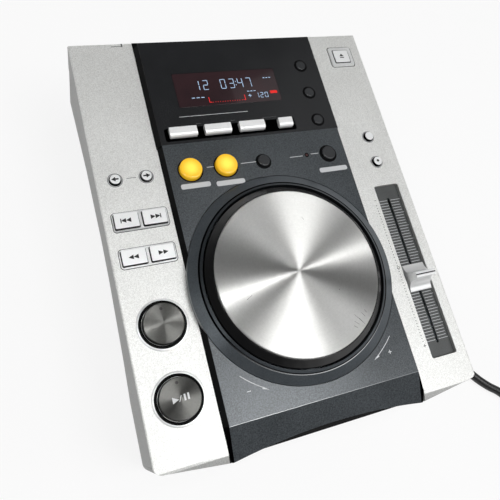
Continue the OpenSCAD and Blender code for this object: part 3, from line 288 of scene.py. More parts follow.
# Each look: the two tones that the grain mixes, the size of grain and drift in mm, how much
# of each, the roughness and its spread, the bump in mm. Some looks have more, all in deck mm:
# flake: size and amount
# walls: the height under which the paint has less metal, that metal, and its brightness under the painted
# shade of the walls
# wear: the place in y of a painted highlight, a thin light line along the front edge, and half its width
# side: the distance to the left or right from where on it is black
# pocket: the height under which it is black
# lip: the radius inside which it is painted black as shade, how black, and how far a painted highlight
# undoes that at the front
# scoop: the heights between which a painted shade in the scoops fades out, and how deep it is
# specular: less shine than a plastic's 0.5
looks = {
    "silver_paint": {"tones": [(197, 197, 194), (253, 254, 252)], "grain": (0.5, 0.5), "drift": (40, 0.1),
                     "rough": (0.48, 0.06), "bump": 0.0006, "Metallic": 0.42, "walls": (-0.5, 0.05, 0.5),
                     "flake": (0.55, 0.3)},
    "console_paint": {"tones": [(50, 54, 57), (84, 89, 93)], "grain": (0.75, 0.9), "drift": (30, 0.2),
                      "rough": (0.29, 0.06), "bump": 0.0012, "Metallic": 0.26, "side": 63.95,
                      "flake": (0.6, 0.3), "wear": (-122.6, 0.2)},
    "panel_gloss": {"tones": [(25, 26, 28), (33, 34, 36)], "grain": (0.6, 0.4), "drift": (20, 0.5),
                    "rough": (0.24, 0.06), "bump": 0.001, "Metallic": 0, "side": 64.3, "pocket": 5.4},
    "collar_plastic": {"tones": [(70, 75, 79), (90, 96, 101)], "grain": (0.9, 0.5), "drift": (18, 0.3),
                       "rough": (0.3, 0.06), "bump": 0.001, "Metallic": 0.5, "lip": (62.6, 0.4, 1)},
    "wheel_black": {"tones": [(6, 6, 7), (13, 13, 14)], "grain": (0.6, 0.3), "drift": (12, 0.5),
                    "rough": (0.16, 0.08), "bump": 0.001, "Metallic": 0},
    "black_plastic": {"tones": [(22, 22, 23), (38, 38, 40)], "grain": (0.4, 0.7), "drift": (20, 0.4),
                      "rough": (0.45, 0.12), "bump": 0.02, "Metallic": 0},
    "button_black": {"tones": [(38, 39, 41), (48, 50, 52)], "grain": (0.5, 0.4), "drift": (6, 0.4),
                     "rough": (0.24, 0.06), "bump": 0.002, "Metallic": 0},
    "felt": {"tones": [(16, 16, 17), (44, 44, 46)], "grain": (0.25, 1), "drift": (4, 0.3),
             "rough": (0.9, 0.1), "bump": 0.12, "Metallic": 0},
    "tray_steel": {"tones": [(122, 126, 130), (176, 180, 182)], "grain": (3.5, 0.7), "drift": (25, 0.5),
                   "rough": (0.36, 0.16), "bump": 0.004, "Metallic": 1},
    "foot_rubber": {"tones": [(20, 20, 20), (40, 40, 40)], "grain": (0.35, 0.8), "drift": (8, 0.4),
                    "rough": (0.75, 0.12), "bump": 0.03, "Metallic": 0},
    "screw_steel": {"tones": [(96, 98, 100), (150, 152, 154)], "grain": (0.3, 0.6), "drift": (3, 0.4),
                    "rough": (0.3, 0.14), "bump": 0.006, "Metallic": 1},
    "ring_silver": {"tones": [(214, 215, 215), (242, 243, 243)], "grain": (0.4, 0.6), "drift": (10, 0.3),
                    "rough": (0.32, 0.08), "bump": 0.002, "Metallic": 0.4},
    "lip_trim": {"tones": [(214, 216, 218), (228, 230, 231)], "grain": (0.5, 0.4), "drift": (14, 0.4),
                 "rough": (0.2, 0.04), "bump": 0.0005, "Metallic": 1, "lip": (62.08, 1, 1)},
    "gap_black": {"tones": [(4, 4, 5), (9, 9, 10)], "grain": (0.4, 0.5), "drift": (6, 0.4),
                  "rough": (0.6, 0.1), "bump": 0.002, "Metallic": 0, "specular": 0.08},
    "slot_black": {"tones": [(9, 9, 10), (17, 17, 18)], "grain": (0.4, 0.7), "drift": (20, 0.4),
                   "rough": (0.55, 0.1), "bump": 0.01, "Metallic": 0, "specular": 0.12},
    "knob_silver": {"tones": [(240, 241, 241), (252, 253, 253)], "grain": (0.5, 0.5), "drift": (8, 0.4),
                    "rough": (0.3, 0.06), "bump": 0.001, "Metallic": 0.3, "scoop": (1, 7, 0.25)},
    "slider_plate": {"tones": [(64, 66, 66), (84, 86, 86)], "grain": (0.5, 0.6), "drift": (12, 0.3),
                     "rough": (0.5, 0.1), "bump": 0.004, "Metallic": 0.2},
    "plated_steel": {"tones": [(150, 153, 156), (205, 208, 210)], "grain": (1.2, 0.6), "drift": (12, 0.4),
                     "rough": (0.26, 0.14), "bump": 0.003, "Metallic": 1},
    "bronze": {"tones": [(150, 104, 52), (196, 146, 84)], "grain": (0.3, 0.7), "drift": (4, 0.4),
               "rough": (0.4, 0.12), "bump": 0.01, "Metallic": 1},
    "iron_core": {"tones": [(82, 80, 78), (120, 116, 110)], "grain": (0.5, 0.7), "drift": (8, 0.4),
                  "rough": (0.5, 0.14), "bump": 0.02, "Metallic": 0.8},
    "gilt": {"tones": [(196, 156, 82), (236, 204, 128)], "grain": (0.4, 0.5), "drift": (5, 0.3),
             "rough": (0.2, 0.1), "bump": 0.003, "Metallic": 1},
    "lead_black": {"tones": [(15, 15, 16), (30, 30, 31)], "grain": (0.3, 0.7), "drift": (14, 0.4),
                   "rough": (0.42, 0.12), "bump": 0.012, "Metallic": 0},
    "key_silver": {"tones": [(240, 241, 241), (252, 253, 253)], "grain": (0.5, 0.5), "drift": (8, 0.4),
                   "rough": (0.34, 0.06), "bump": 0.001, "Metallic": 0.25},
}


def coated(name, skirt=None):
    # A skirt is the height on the deck below which a key's side has painted shade
    look = looks[name]
    metal = look["Metallic"]
    finish = Finish(name, Metallic=metal, Specular_IOR_Level=look.get("specular", 0.5))
    place = finish.deck()
    grainSize, grainShare = look["grain"]
    driftSize, driftShare = look["drift"]
    grain = finish.noise(place, 1 / grainSize, 3)
    drift = finish.noise(place, 1 / driftSize, 2)
    share = 0.5 + (grain - 0.5) * (grainShare * 1.6) + (drift - 0.5) * (driftShare * 1.6)
    if "flake" in look:
        # Flakes in the paint, each with its own tone
        size, amount = look["flake"]
        flakes = finish.node("ShaderNodeTexVoronoi", None, {"Vector": place, "Scale": 1 / size}, "Color")
        share = share + (flakes * 1 - 0.5) * amount
    dark, light = look["tones"]
    rough, spread = look["rough"]
    colour = finish.mix(share.ramp(0.1, 0.9), tone(*dark), tone(*light))
    roughness = (rough - spread / 2) + drift * spread
    x, y, z, away = finish.parts(place, (0, jogY, 0) if "lip" in look else (0, 0, 0))
    if "wear" in look:
        # A painted highlight: a thin light line along the front edge
        line, half = look["wear"]
        off = (y - line).sum("ABSOLUTE", y - line) + (drift - 0.5) * half
        shown = off.ramp(half, half * 0.4) * x.ramp(60, -60, 0.3, 0.75)
        colour = finish.mix(shown, colour, tone(220, 223, 225))
    if "scoop" in look:
        # Painted shade, darkest low in the scoops
        low, high, shade = look["scoop"]
        colour = finish.mix(z.ramp(low, high, shade, 0), colour, tone(0, 0, 0))
    black = None
    if "side" in look:
        # The sides are a flat black
        black = x.sum("ABSOLUTE", x).ramp(look["side"], look["side"] + 0.15)
        roughness = roughness + black * 0.6
    if "pocket" in look:
        black = black.sum("MAXIMUM", black, z.ramp(look["pocket"], look["pocket"] - 0.1))
    if "lip" in look:
        # Painted shade makes it black inside this radius, and for a metal everywhere; a painted highlight
        # leaves it bright only at the front
        edge, depth, shine = look["lip"]
        front = (y / away).ramp(-0.45, -0.9) * shine
        black = away.ramp(edge + 0.1, edge) * depth
        black = black.sum("MAXIMUM", black, 1 - front) if metal == 1 else black * (1 - front)
    if skirt:
        # Painted shade on the sides of a key below its skirt
        black = z.ramp(skirt + 0.1, skirt)
    if black:
        # A metal without colour is blacker than a gloss
        colour = finish.mix(black, colour, deepBlack)
        finish.feed(Metallic=metal + black * (1 - metal))
    if "walls" in look:
        # Less flake in the paint under the edge of the top, and painted shade that darkens the walls
        under, flake, shade = look["walls"]
        wall = z.ramp(under, under - 0.4)
        finish.feed(Metallic=metal - wall * (metal - flake))
        colour = finish.mix(wall * (1 - shade), colour, tone(0, 0, 0))
    finish.feed(Base_Color=colour, Roughness=roughness, Normal=finish.bump(grain, look["bump"]))
    return finish.owner


# The pitch of the rings, the distance and size of the nicks and the height of the skirt are in mm;
# worn and contrast say how much worn patches and rings show
spun = {
    "spun_aluminium": {"tones": [(174, 174, 172), (212, 212, 210)], "ring": 0.3, "rough": (0.35, 0.05),
                       "nicks": (17, 0.42), "worn": 0.1, "contrast": 0.9},
    "pad_metal": {"tones": [(62, 62, 60), (90, 90, 88)], "ring": 0.3, "rough": (0.29, 0.015),
                  "skirt": 4.72, "worn": 0.01, "contrast": 0.4},
}


def turnedMetal(name, centre):
    # Fine rings round the centre, as a lathe leaves them
    look = spun[name]
    finish = Finish(name, Metallic=1, Anisotropic=1, Anisotropic_Rotation=0.25)
    place = finish.deck()
    x, y, z, away = finish.parts(place, centre)
    rings = finish.noise(
        finish.node("ShaderNodeCombineXYZ", None, {0: away}), 1 / look["ring"], 4
    )
    scuffs = finish.noise(place, 0.9, 4)
    worn = finish.noise(place, 0.06, 4)
    dark, light = look["tones"]
    rough, spread = look["rough"]
    share = 0.5 + (rings - 0.5) * look["contrast"] + (scuffs - 0.5) * 0.5
    colour = finish.mix(share, tone(*dark), tone(*light))
    if "nicks" in look:
        # Small dark nicks
        apart, size = look["nicks"]
        nicks = finish.node("ShaderNodeTexVoronoi", None, {"Vector": place, "Scale": 1 / apart}, "Distance")
        colour = finish.mix(nicks.ramp(size / apart, size / apart / 2) * 0.7, colour, tone(70, 64, 62))
    if "skirt" in look:
        # Only the face of a pad is metal
        side = z.ramp(look["skirt"] + 0.05, look["skirt"])
        colour = finish.mix(side, colour, deepBlack)
    finish.feed(
        Base_Color=colour,
        Roughness=rough + (rings - 0.5) * spread + (worn - 0.5) * look["worn"],
    )
    return finish.owner


amber = {"edge": (230, 178, 34), "middle": (255, 224, 84), "glow": 0.38, "spread": (1, 7.3)}


def amberLens(name, centre):
    # A lit cap, brightest in its middle
    finish = Finish(name, Metallic=0, IOR=1.49, Coat_Weight=0.5, Coat_Roughness=0.05)
    place = finish.deck()
    away = finish.parts(place, centre)[3]
    lit = (away + (finish.noise(place, 0.5, 2) - 0.5) * 0.8).ramp(*amber["spread"], 1, 0)
    colour = finish.mix(lit, tone(*amber["edge"]), tone(*amber["middle"]))
    finish.feed(
        Base_Color=colour,
        Emission_Color=colour,
        Emission_Strength=amber["glow"],
        Roughness=0.2 + finish.noise(place, 2, 2) * 0.06,
    )
    return finish.owner


def displayLens():
    # Dark red filter over the display
    finish = Finish("display_lens", Metallic=0, IOR=1.49, Coat_Weight=0.6, Coat_Roughness=0.04)
    drift = finish.noise(finish.deck(), 0.06, 2)
    finish.feed(
        Base_Color=finish.mix(drift.ramp(0.3, 0.7), tone(42, 26, 30), tone(50, 30, 34)),
        Roughness=0.12 + drift * 0.06,
    )
    return finish.owner


def circuitBoard():
    # Green mask with lighter traces and tinned pads
    finish = Finish("board_green", Metallic=0)
    place = finish.deck()
    lanes = finish.node("ShaderNodeTexBrick", {"offset": 0.5}, {
        "Vector": place, "Scale": 0.22, "Mortar Size": 0.035,
        "Color1": (0, 0, 0, 1), "Color2": (0.3, 0.3, 0.3, 1), "Mortar": (1, 1, 1, 1),
    })
    spots = finish.node("ShaderNodeTexVoronoi", None, {"Vector": place, "Scale": 0.3}, "Distance")
    pads = spots.ramp(0.16, 0.13)
    green = finish.mix(lanes, tone(18, 70, 40), tone(44, 112, 62))
    finish.feed(
        Base_Color=finish.mix(pads, green, tone(190, 192, 188)),
        Roughness=0.45 - pads * 0.15,
        Metallic=pads * 0.9,
    )
    return finish.owner


def glowing(name, colour, strength):
    finish = Finish(name, Roughness=0.4)
    drift = finish.noise(finish.deck(), 0.3, 2)
    dim = tuple(v * 0.8 for v in tone(*colour)[:3]) + (1,)
    shown = finish.mix(drift, dim, tone(*colour))
    finish.feed(Base_Color=shown, Emission_Color=shown, Emission_Strength=strength)
    return finish.owner


def ink(name, colour):
    # Screen-printed marks, a little uneven
    finish = Finish(name)
    drift = finish.noise(finish.deck(), 2, 2)
    thin = tuple(v * 0.82 for v in tone(*colour)[:3]) + (1,)
    finish.feed(Base_Color=finish.mix(drift, thin, tone(*colour)), Roughness=0.5 + drift * 0.15)
    return finish.owner


print("finishes")
finishes = {name: coated(name) for name in looks}
finishes["spun_aluminium"] = turnedMetal("spun_aluminium", (0, jogY, 0))
finishes["display_lens"] = displayLens()
finishes["board_green"] = circuitBoard()
slotOf = {}
for part in frame["record"]["subparts"]:
    slotOf.setdefault(part["node"], part["material_slot"])
finishOf = {node: finishes.get(slotOf[node]) for node in nodes}
gapBlack = finishes["gap_black"]
finishOf["tempo_knob"] = finishes["knob_silver"]
finishOf["slot_fascia"] = finishes["slot_black"]
# Silver caps with painted shade on their sides below the height of their skirt
for skirt, caps in {
    2.4: ("track_back_key", "track_next_key", "search_back_key", "search_next_key"),
    2.22: ("folder_back_button", "folder_next_button", "range_button", "tempo_lock_button"),
    1.2: ("eject_button",),
}.items():
    capSilver = coated("key_silver", skirt)
    for node in caps:
        finishOf[node] = capSilver
# Buttons with a finish that is centred on the button
padPlaces = {"cue_button": (-87.17, -57.7), "play_button": (-87.17, -100.7)}
loopPlaces = {"loop_in_button": (-49.7, 34.8), "loop_out_button": (-25.7, 34.8)}
for node, place in padPlaces.items():
    finishOf[node] = turnedMetal("pad_metal", (*place, 0))
for node, place in loopPlaces.items():
    finishOf[node] = amberLens(node + "_lens", (*place, 0))
for node, solid in nodes.items():
    solid.data.materials.clear()
    solid.data.materials.append(finishOf[node])
# Grey ink for prints and scratches, also for the painted highlight of the pocket lines
printGrey = ink("printGrey", (84, 85, 85))
printLight = ink("printLight", (206, 208, 210))
printWhite = ink("printWhite", (226, 228, 230))
printDark = ink("printDark", (24, 25, 26))
printBlack = ink("printBlack", (8, 8, 9))
glowBlue = glowing("glowBlue", (160, 186, 214), 0.45)
glowRed = glowing("glowRed", (214, 34, 30), 0.55)

print("camera and lead")
addCamera()
flex = addLead(finishes["lead_black"])


def deselect():
    if bpy.context.mode != "OBJECT":
        bpy.ops.object.mode_set(mode="OBJECT")
    bpy.ops.object.select_all(action="DESELECT")


def only(piece):
    deselect()
    piece.select_set(True)
    bpy.context.view_layer.objects.active = piece


def begin(name, kind, **size):
    # A primitive to start from
    deselect()
    getattr(bpy.ops.mesh, f"primitive_{kind}_add")(**size)
    piece = bpy.context.object
    piece.name = piece.data.name = name
    return piece


def chooseFaces(piece, test):
    # Edit mode, with only the faces selected whose middle and normal pass the test
    only(piece)
    bpy.ops.object.mode_set(mode="EDIT")
    bpy.ops.mesh.select_mode(type="FACE")
    bpy.ops.mesh.select_all(action="DESELECT")
    bpy.ops.object.mode_set(mode="OBJECT")
    for face in piece.data.polygons:
        face.select = test(face.center, face.normal)
    bpy.ops.object.mode_set(mode="EDIT")


def tidy(piece, merge=0.002, flat=None, recalculate=True):
    # Points closer than merge become one; faces within the angle flat become one
    only(piece)
    bpy.ops.object.mode_set(mode="EDIT")
    bpy.ops.mesh.select_all(action="SELECT")
    bpy.ops.mesh.remove_doubles(threshold=merge)
    if flat:
        bpy.ops.mesh.dissolve_limited(angle_limit=math.radians(flat))
    if recalculate:
        bpy.ops.mesh.normals_make_consistent(inside=False)
    bpy.ops.object.mode_set(mode="OBJECT")


def work(piece, kind, **settings):
    # A modifier, applied
    only(piece)
    bpy.ops.object.modifier_add(type=kind)
    added = piece.modifiers[-1]
    for name, value in settings.items():
        setattr(added, name, value)
    bpy.ops.object.modifier_apply(modifier=added.name)


def repeated(piece, count, step):
    # A row of copies, each one step on
    work(
        piece, "ARRAY", count=count, use_relative_offset=False, use_constant_offset=True,
        constant_offset_displace=step,
    )


def settle(piece, finish, body="player", smooth=35):
    # The piece is put in its place, and rides there
    only(piece)
    piece.matrix_world = deckFrame @ piece.matrix_world
    bpy.ops.object.transform_apply(location=True, rotation=True, scale=True)
    if smooth:
        bpy.ops.object.shade_smooth_by_angle(angle=math.radians(smooth))
    piece.data.materials.clear()
    piece.data.materials.append(finish)
    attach(piece, body)
    return piece


def joined(name, parts):
    deselect()
    for part in parts:
        part.select_set(True)
    bpy.context.view_layer.objects.active = parts[0]
    if len(parts) > 1:
        bpy.ops.object.join()
    piece = bpy.context.object
    piece.name = piece.data.name = name
    return piece


def copied(node, name):
    # A node's shape in mm, merged, to be dressed
    piece = bpy.data.objects.new(name, nodes[node].data.copy())
    bpy.context.scene.collection.objects.link(piece)
    only(piece)
    piece.matrix_world = deckFrame.inverted()
    bpy.ops.object.transform_apply(location=True, rotation=True, scale=True)
    bpy.ops.mesh.customdata_custom_splitnormals_clear()
    tidy(piece, flat=0.6, recalculate=False)
    return piece


def rounded(piece, width, segments, above):
    # Edges sharper than an angle are rounded
    work(
        piece, "BEVEL", width=width, segments=segments, limit_method="ANGLE",
        angle_limit=math.radians(above), use_clamp_overlap=True, miter_outer="MITER_ARC",
    )
    bpy.ops.object.shade_smooth_by_angle(angle=math.radians(min(above, 30)))
    work(piece, "WEIGHTED_NORMAL", keep_sharp=True, weight=95)


def bodyOf(node):
    return nodes[node]["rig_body"]


# Width of the rounded edges of each piece in mm, their segments, and above which angle if not 35
softEdges = {
    "top_cover": (0.35, 2), "centre_deck": (0.7, 3, 14), "display_panel": (0.15, 2),
    "jog_collar": (0.25, 2), "jog_rim": (0.45, 3), "jog_plate": (0.2, 2), "slot_fascia": (0.3, 2),
    "button_bezels": (0.12, 2), "cue_button": (0.15, 2), "play_button": (0.15, 2),
    "track_back_key": (0.3, 3), "track_next_key": (0.3, 3), "search_back_key": (0.3, 3),
    "search_next_key": (0.3, 3), "eject_button": (0.2, 2),
    "effect_key_1": (0.3, 3), "effect_key_2": (0.3, 3), "effect_key_3": (0.3, 3), "hold_key": (0.3, 3),
    "tempo_knob": (0.25, 3), "fader_plate": (0.1, 2), "power_button": (0.6, 3), "rear_panel": (0.2, 2),
    "rear_jacks": (0.15, 2), "feet": (0.9, 3), "display_window": (0.1, 2),
    "base_screws": (0.25, 2), "power_plug": (2.2, 4), "cord_tie": (0.25, 2),
}


def titled(node):
    # The piece's name, such as TopCover for top_cover
    return node.title().replace("_", "")


def dressed(node, width, segments, above=35):
    # Stands for the node, with its finish and its body
    piece = copied(node, titled(node))
    rounded(piece, width, segments, above)
    settle(piece, finishOf[node], bodyOf(node), smooth=None)
    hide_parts(node)


print("rounded pieces")
for node, edges in softEdges.items():
    dressed(node, *edges)

# Marks are thin flat pieces on a face, all in deck mm: z is the height of the face they lie on
consoleTop = 5.35
panelTop = 5.7
plateTop = 13.9
padTop = 5
capTop = 2.4        # the small round caps of the strips

def flat(kind, x, y, z, turn=0, wide=1, long=1, **size):
    piece = begin("mark", kind, location=(x, y, z), rotation=(0, 0, math.radians(turn)), **size)
    piece.scale = (wide, long, 1)
    bpy.ops.object.transform_apply(location=True, rotation=True, scale=True)
    return piece


def bar(x, y, z, wide, long, turn=0):
    return flat("plane", x, y, z, turn, wide, long, size=1)


def dot(x, y, z, radius, sides=20):
    return flat("circle", x, y, z, vertices=sides, radius=radius, fill_type="NGON")


def arrow(x, y, z, wide, long, turn):
    # Points along +y before it is turned; a triangle in a circle of radius 1 is 1.732 by 1.5
    return flat(
        "circle", x, y, z, turn, wide / 1.732, long / 1.5, vertices=3, radius=1, fill_type="NGON"
    )


def hoop(x, y, z, outer, inner, sides=64):
    # A flat ring
    piece = flat("circle", x, y, z, vertices=sides, radius=outer, fill_type="NOTHING")
    bpy.ops.object.mode_set(mode="EDIT")
    bpy.ops.mesh.select_all(action="SELECT")
    bpy.ops.mesh.extrude_edges_move()
    bpy.ops.transform.resize(value=(inner / outer, inner / outer, 1), center_override=(x, y, z))
    bpy.ops.object.mode_set(mode="OBJECT")
    return piece


def arc(x, y, z, outer, inner, first, last):
    # The part of a hoop between two angles, under half a turn
    piece = hoop(x, y, z, outer, inner, 180)
    for angle, side in ((first, 1), (last, -1)):
        way = math.radians(angle + 90)
        bpy.ops.object.mode_set(mode="EDIT")
        bpy.ops.mesh.select_all(action="SELECT")
        bpy.ops.mesh.bisect(
            plane_co=(x, y, z), plane_no=(side * math.cos(way), side * math.sin(way), 0), clear_inner=True
        )
        bpy.ops.object.mode_set(mode="OBJECT")
    return piece


def pill(x, y, z, wide, long, corner, line=None):
    # A bar with round corners, or its outline
    piece = bar(x, y, z, wide, long)
    bpy.ops.object.mode_set(mode="EDIT")
    bpy.ops.mesh.select_all(action="SELECT")
    bpy.ops.mesh.bevel(offset=corner, offset_type="OFFSET", segments=6, affect="VERTICES")
    if line:
        bpy.ops.mesh.select_mode(type="FACE")
        bpy.ops.mesh.select_all(action="SELECT")
        bpy.ops.mesh.inset(thickness=line)
        bpy.ops.mesh.delete(type="FACE")
    bpy.ops.object.mode_set(mode="OBJECT")
    return piece


def printed(name, marks, ink, body="player", thick=0.04):
    # The marks become one thin piece that faces up
    piece = joined(name, marks)
    chooseFaces(piece, lambda middle, normal: normal.z < 0)
    bpy.ops.mesh.flip_normals()
    bpy.ops.object.mode_set(mode="OBJECT")
    work(piece, "SOLIDIFY", thickness=thick, offset=1)
    return settle(piece, ink, body, smooth=None)


# Two columns of ticks beside the slot of the fader, and a row of dots on the cover
tempoScale = {
    "middle": 90.9, "top": -3.9, "bottom": -106.6, "ticks": 51, "every": 5,
    "inner": 1.3, "short": 8.2, "long": 9.6, "line": 0.33, "face": -2.6,
    "dots": 49, "firstDot": (78, -7.3), "dotPitch": 2.05, "dotRadius": 0.34,
}


def addTempoScale():
    s = tempoScale
    pitch = (s["top"] - s["bottom"]) / (s["ticks"] - 1)
    longTicks = (s["ticks"] - 1) // s["every"] + 1
    marks = []
    for side in (-1, 1):
        for outer, count, step in ((s["short"], s["ticks"], 1), (s["long"], longTicks, s["every"])):
            wide = outer - s["inner"]
            middle = s["middle"] + side * (s["inner"] + wide / 2)
            tick = bar(middle, s["top"], s["face"], wide, s["line"])
            if step > 1:
                tick.location.z += 0.01
            repeated(tick, count, (0, -pitch * step, 0))
            marks.append(tick)
    printed("tempoTicks", marks, printLight)
    dots = dot(*s["firstDot"], 0, s["dotRadius"], 8)
    repeated(dots, s["dots"], (0, -s["dotPitch"], 0))
    printed("tempoDots", [dots], printDark)
    printed("tempoMarks", [
        hoop(78.5, -54, 0.01, 1.1, 0.75, 24), bar(78, -3.4, 0, 1.7, 0.35),
        bar(78.2, -108.6, 0, 2, 0.45), bar(78.2, -108.6, 0.01, 0.45, 2),
    ], printGrey)


# Rows of figures and dashes: first place, pitch, size; the bracket runs from its left to its right
display = {
    "large": {"signs": "12 0347", "first": (-33, 92.2), "pitch": 6.3, "size": (3.8, 7.6), "line": 0.5},
    "small": {"signs": "120", "first": (9.2, 83.1), "pitch": 3.5, "size": (2.4, 4.2), "line": 0.4},
    "colon": ((-2.8, 94.6), (-2.8, 97.4)),
    "plus": (5, 85.4),
    "dashes": [
        ((-35.5, 86.6), 3.3, (2.2, 0.6)), ((19, 98.8), 2.2, (1.4, 0.6)), ((4.5, 88.9), 2.4, (1.6, 0.5)),
    ],
    "bracket": {"left": -24.9, "right": 1, "foot": 82.4, "dots": 13, "firstDot": -22.6, "pitch": 1.75},
    "lamp": (23.4, 87),
}
# The strokes of a figure: top, middle, bottom, then upper left, upper right, lower left, lower right
strokes = {"0": "tb1234", "1": "24", "2": "tmb23", "3": "tmb24", "4": "m124", "7": "t24", " ": ""}


def figure(sign, x, y, size, line):
    wide, high = size
    across = wide - line * 1.3
    up = high / 2 - line * 1.3
    bars = {
        "t": (wide / 2, high - line / 2, across, line), "m": (wide / 2, high / 2, across, line),
        "b": (wide / 2, line / 2, across, line),
        "1": (line / 2, high * 0.75, line, up), "2": (wide - line / 2, high * 0.75, line, up),
        "3": (line / 2, high * 0.25, line, up), "4": (wide - line / 2, high * 0.25, line, up),
    }
    return [bar(x + bars[s][0], y + bars[s][1], panelTop, *bars[s][2:]) for s in strokes[sign]]


def figures(row):
    x, y = row["first"]
    marks = []
    for i, sign in enumerate(row["signs"]):
        marks += figure(sign, x + i * row["pitch"], y, row["size"], row["line"])
    return marks


def addDisplay():
    marks = figures(display["large"])
    marks += [dot(x, y, panelTop, 0.4, 8) for x, y in display["colon"]]
    marks += figures(display["small"])
    x, y = display["plus"]
    marks += [bar(x, y, panelTop, 2.4, 0.5), bar(x, y, panelTop + 0.005, 0.5, 2.4)]
    for (x, y), pitch, size in display["dashes"]:
        marks += [bar(x + pitch * i, y, panelTop, *size) for i in range(3)]
    printed("displayFigures", marks, glowBlue)
    bracket = display["bracket"]
    foot = bracket["foot"]
    low = dot(bracket["firstDot"], foot, panelTop, 0.3, 6)
    repeated(low, bracket["dots"], (bracket["pitch"], 0, 0))
    printed("displayBracket", [
        low,
        bar(bracket["left"], foot + 2, panelTop, 0.5, 4), bar(bracket["right"], foot + 2, panelTop, 0.5, 4),
        bar(bracket["left"] + 0.7, foot, panelTop, 1.6, 0.45),
        bar(bracket["right"] - 0.7, foot, panelTop, 1.6, 0.45),
        pill(*display["lamp"], panelTop, 5.4, 2.2, 0.5),
    ], glowRed)


loopRow = 34.8
modePlaces = [(50.6, y) for y in (106.7, 84, 61.7)]
reloopPlace = (1, loopRow)
beatPlace = (50.1, loopRow)
loopLamp = (33.7, 35.6)
# Each plate on the sides of the console and the panel: its ends in y, its foot in x and its height
sidePlates = ((-122.3, -62.2, 66.6, 5.3), (-28, 53.9, 66.6, 5.3), (54.3, 131, 66.95, 5.65))
sideIn = 2.7        # how far the top of a side leans in
# A curved arrow round the wheel: its two angles, and the place and turn of its head
turnArrows = ((225.5, 239.5, -38.2, -107.6, -118), (300.5, 315, 38.6, -107.4, 118))
turnRadii = (73.3, 72.9)


def addPanelMarks():
    printed("panelMarks", [bar(-24.2, 73.2, panelTop, 48.5, 0.28)], printWhite)
    # The pocket lines are a painted highlight along the rear edges of the key pockets
    printed("pocketLines", [
        bar(x, 67.3, panelTop, wide, 0.22) for x, wide in ((-36.5, 3.2), (-12.5, 3.2), (14.5, 10.5))
    ], printGrey)


def addConsoleMarks():
    lines = [
        bar(x, y, consoleTop, wide, 0.4)
        for x, y, wide in ((-36.1, 35.4, 5), (-9.3, 35.2, 11.6), (25.6, 35.3, 9.8), (39.9, 36, 6))
    ]
    for first, last, x, y, turn in turnArrows:
        lines += [
            arc(0, jogY, consoleTop, *turnRadii, first, last),
            arrow(x, y, consoleTop + 0.01, 1.3, 4.4, turn),
        ]
    # A minus at the left, a plus at the right
    lines += [
        bar(-48, -106.8, consoleTop, 2.4, 0.45),
        bar(48.4, -106.3, consoleTop, 2.4, 0.45), bar(48.4, -106.3, consoleTop + 0.01, 0.45, 2.4),
    ]
    printed("consoleMarks", lines, printWhite)
    printed("consoleTags", [
        pill(x, y, consoleTop, wide, 3.5, 1.3)
        for x, y, wide in ((-48.5, 23.9, 19.5), (-25.2, 23, 19.5), (50.6, 22.9, 21.5))
    ], printLight)
    printed("buttonShades", [
        hoop(*place, consoleTop, 8.4, 7.5) for place in loopPlaces.values()
    ] + [
        hoop(*reloopPlace, consoleTop, 5.5, 4.25, 48), hoop(*beatPlace, consoleTop, 6.5, 5.05, 48),
        dot(*loopLamp, consoleTop, 1.6, 32),
    ] + [
        hoop(*place, panelTop, 5, 3.65, 48) for place in modePlaces
    ], gapBlack)
    lampRed = ink("lampRed", (66, 26, 26))
    printed("loopLamp", [dot(*loopLamp, consoleTop + 0.04, 0.9, 24)], lampRed)


def addSides():
    # The black sides of the console and of the display panel
    sides = []
    for side in (-1, 1):
        for low, high, foot, rise in sidePlates:
            wall = begin(
                "side", "plane", size=1, rotation=(0, side * math.atan2(rise, sideIn), 0),
                location=(side * (foot - sideIn / 2 + 0.02), (low + high) / 2, rise / 2),
            )
            wall.scale = (math.hypot(rise, sideIn) - 0.3, high - low, 1)
            bpy.ops.object.transform_apply(location=True, rotation=True, scale=True)
            sides.append(wall)
    printed("consoleSides", sides, gapBlack)


keySize = (14.4, 9.2)
keyAside = 8.6      # from the middle of a bezel to the middle of its keys
bezelPlaces = {"track": (-86.5, 8.55), "search": (-86.6, -14.9)}
folderPlaces = {"folder_back_button": (-96.8, 36.3), "folder_next_button": (-77.3, 36.3)}
roundPlaces = [*folderPlaces.values(), (89.9, 46.3), (89.9, 25.8)]
ejectFrame = (90.85, 116.45)
ejectPlace = (90.65, 116.3)


def addStripMarks():
    printed("powerMark", [
        bar(-77.4, 134.1, 0, 7.4, 0.4), bar(-73.9, 134.9, 0.01, 0.9, 2.6),
    ], printGrey)
    printed("folderLine", [bar(-86.6, 36.9, 0, 6, 0.35)], printGrey)
    printed("bezelLines", [
        pill(*place, 0, 34.9, 13, 2.3, 0.42) for place in bezelPlaces.values()
    ] + [
        hoop(*place, 0.5, 4.62, 4.3, 48) for place in roundPlaces
    ] + [
        pill(*ejectFrame, 0, 20.6, 17.9, 2.2, 0.55),
    ], printDark)
    wide, long = keySize
    printed("bezelGaps", [
        hoop(*place, 0.5, 3.98, 3.36, 48) for place in roundPlaces
    ] + [
        pill(x + side * keyAside, y, 0.5, wide + 1.1, long + 1.1, 0.9, 0.5)
        for x, y in bezelPlaces.values() for side in (-1, 1)
    ] + [
        pill(*ejectPlace, 1, 13.7, 11.7, 1, 0.55),
    ], gapBlack)


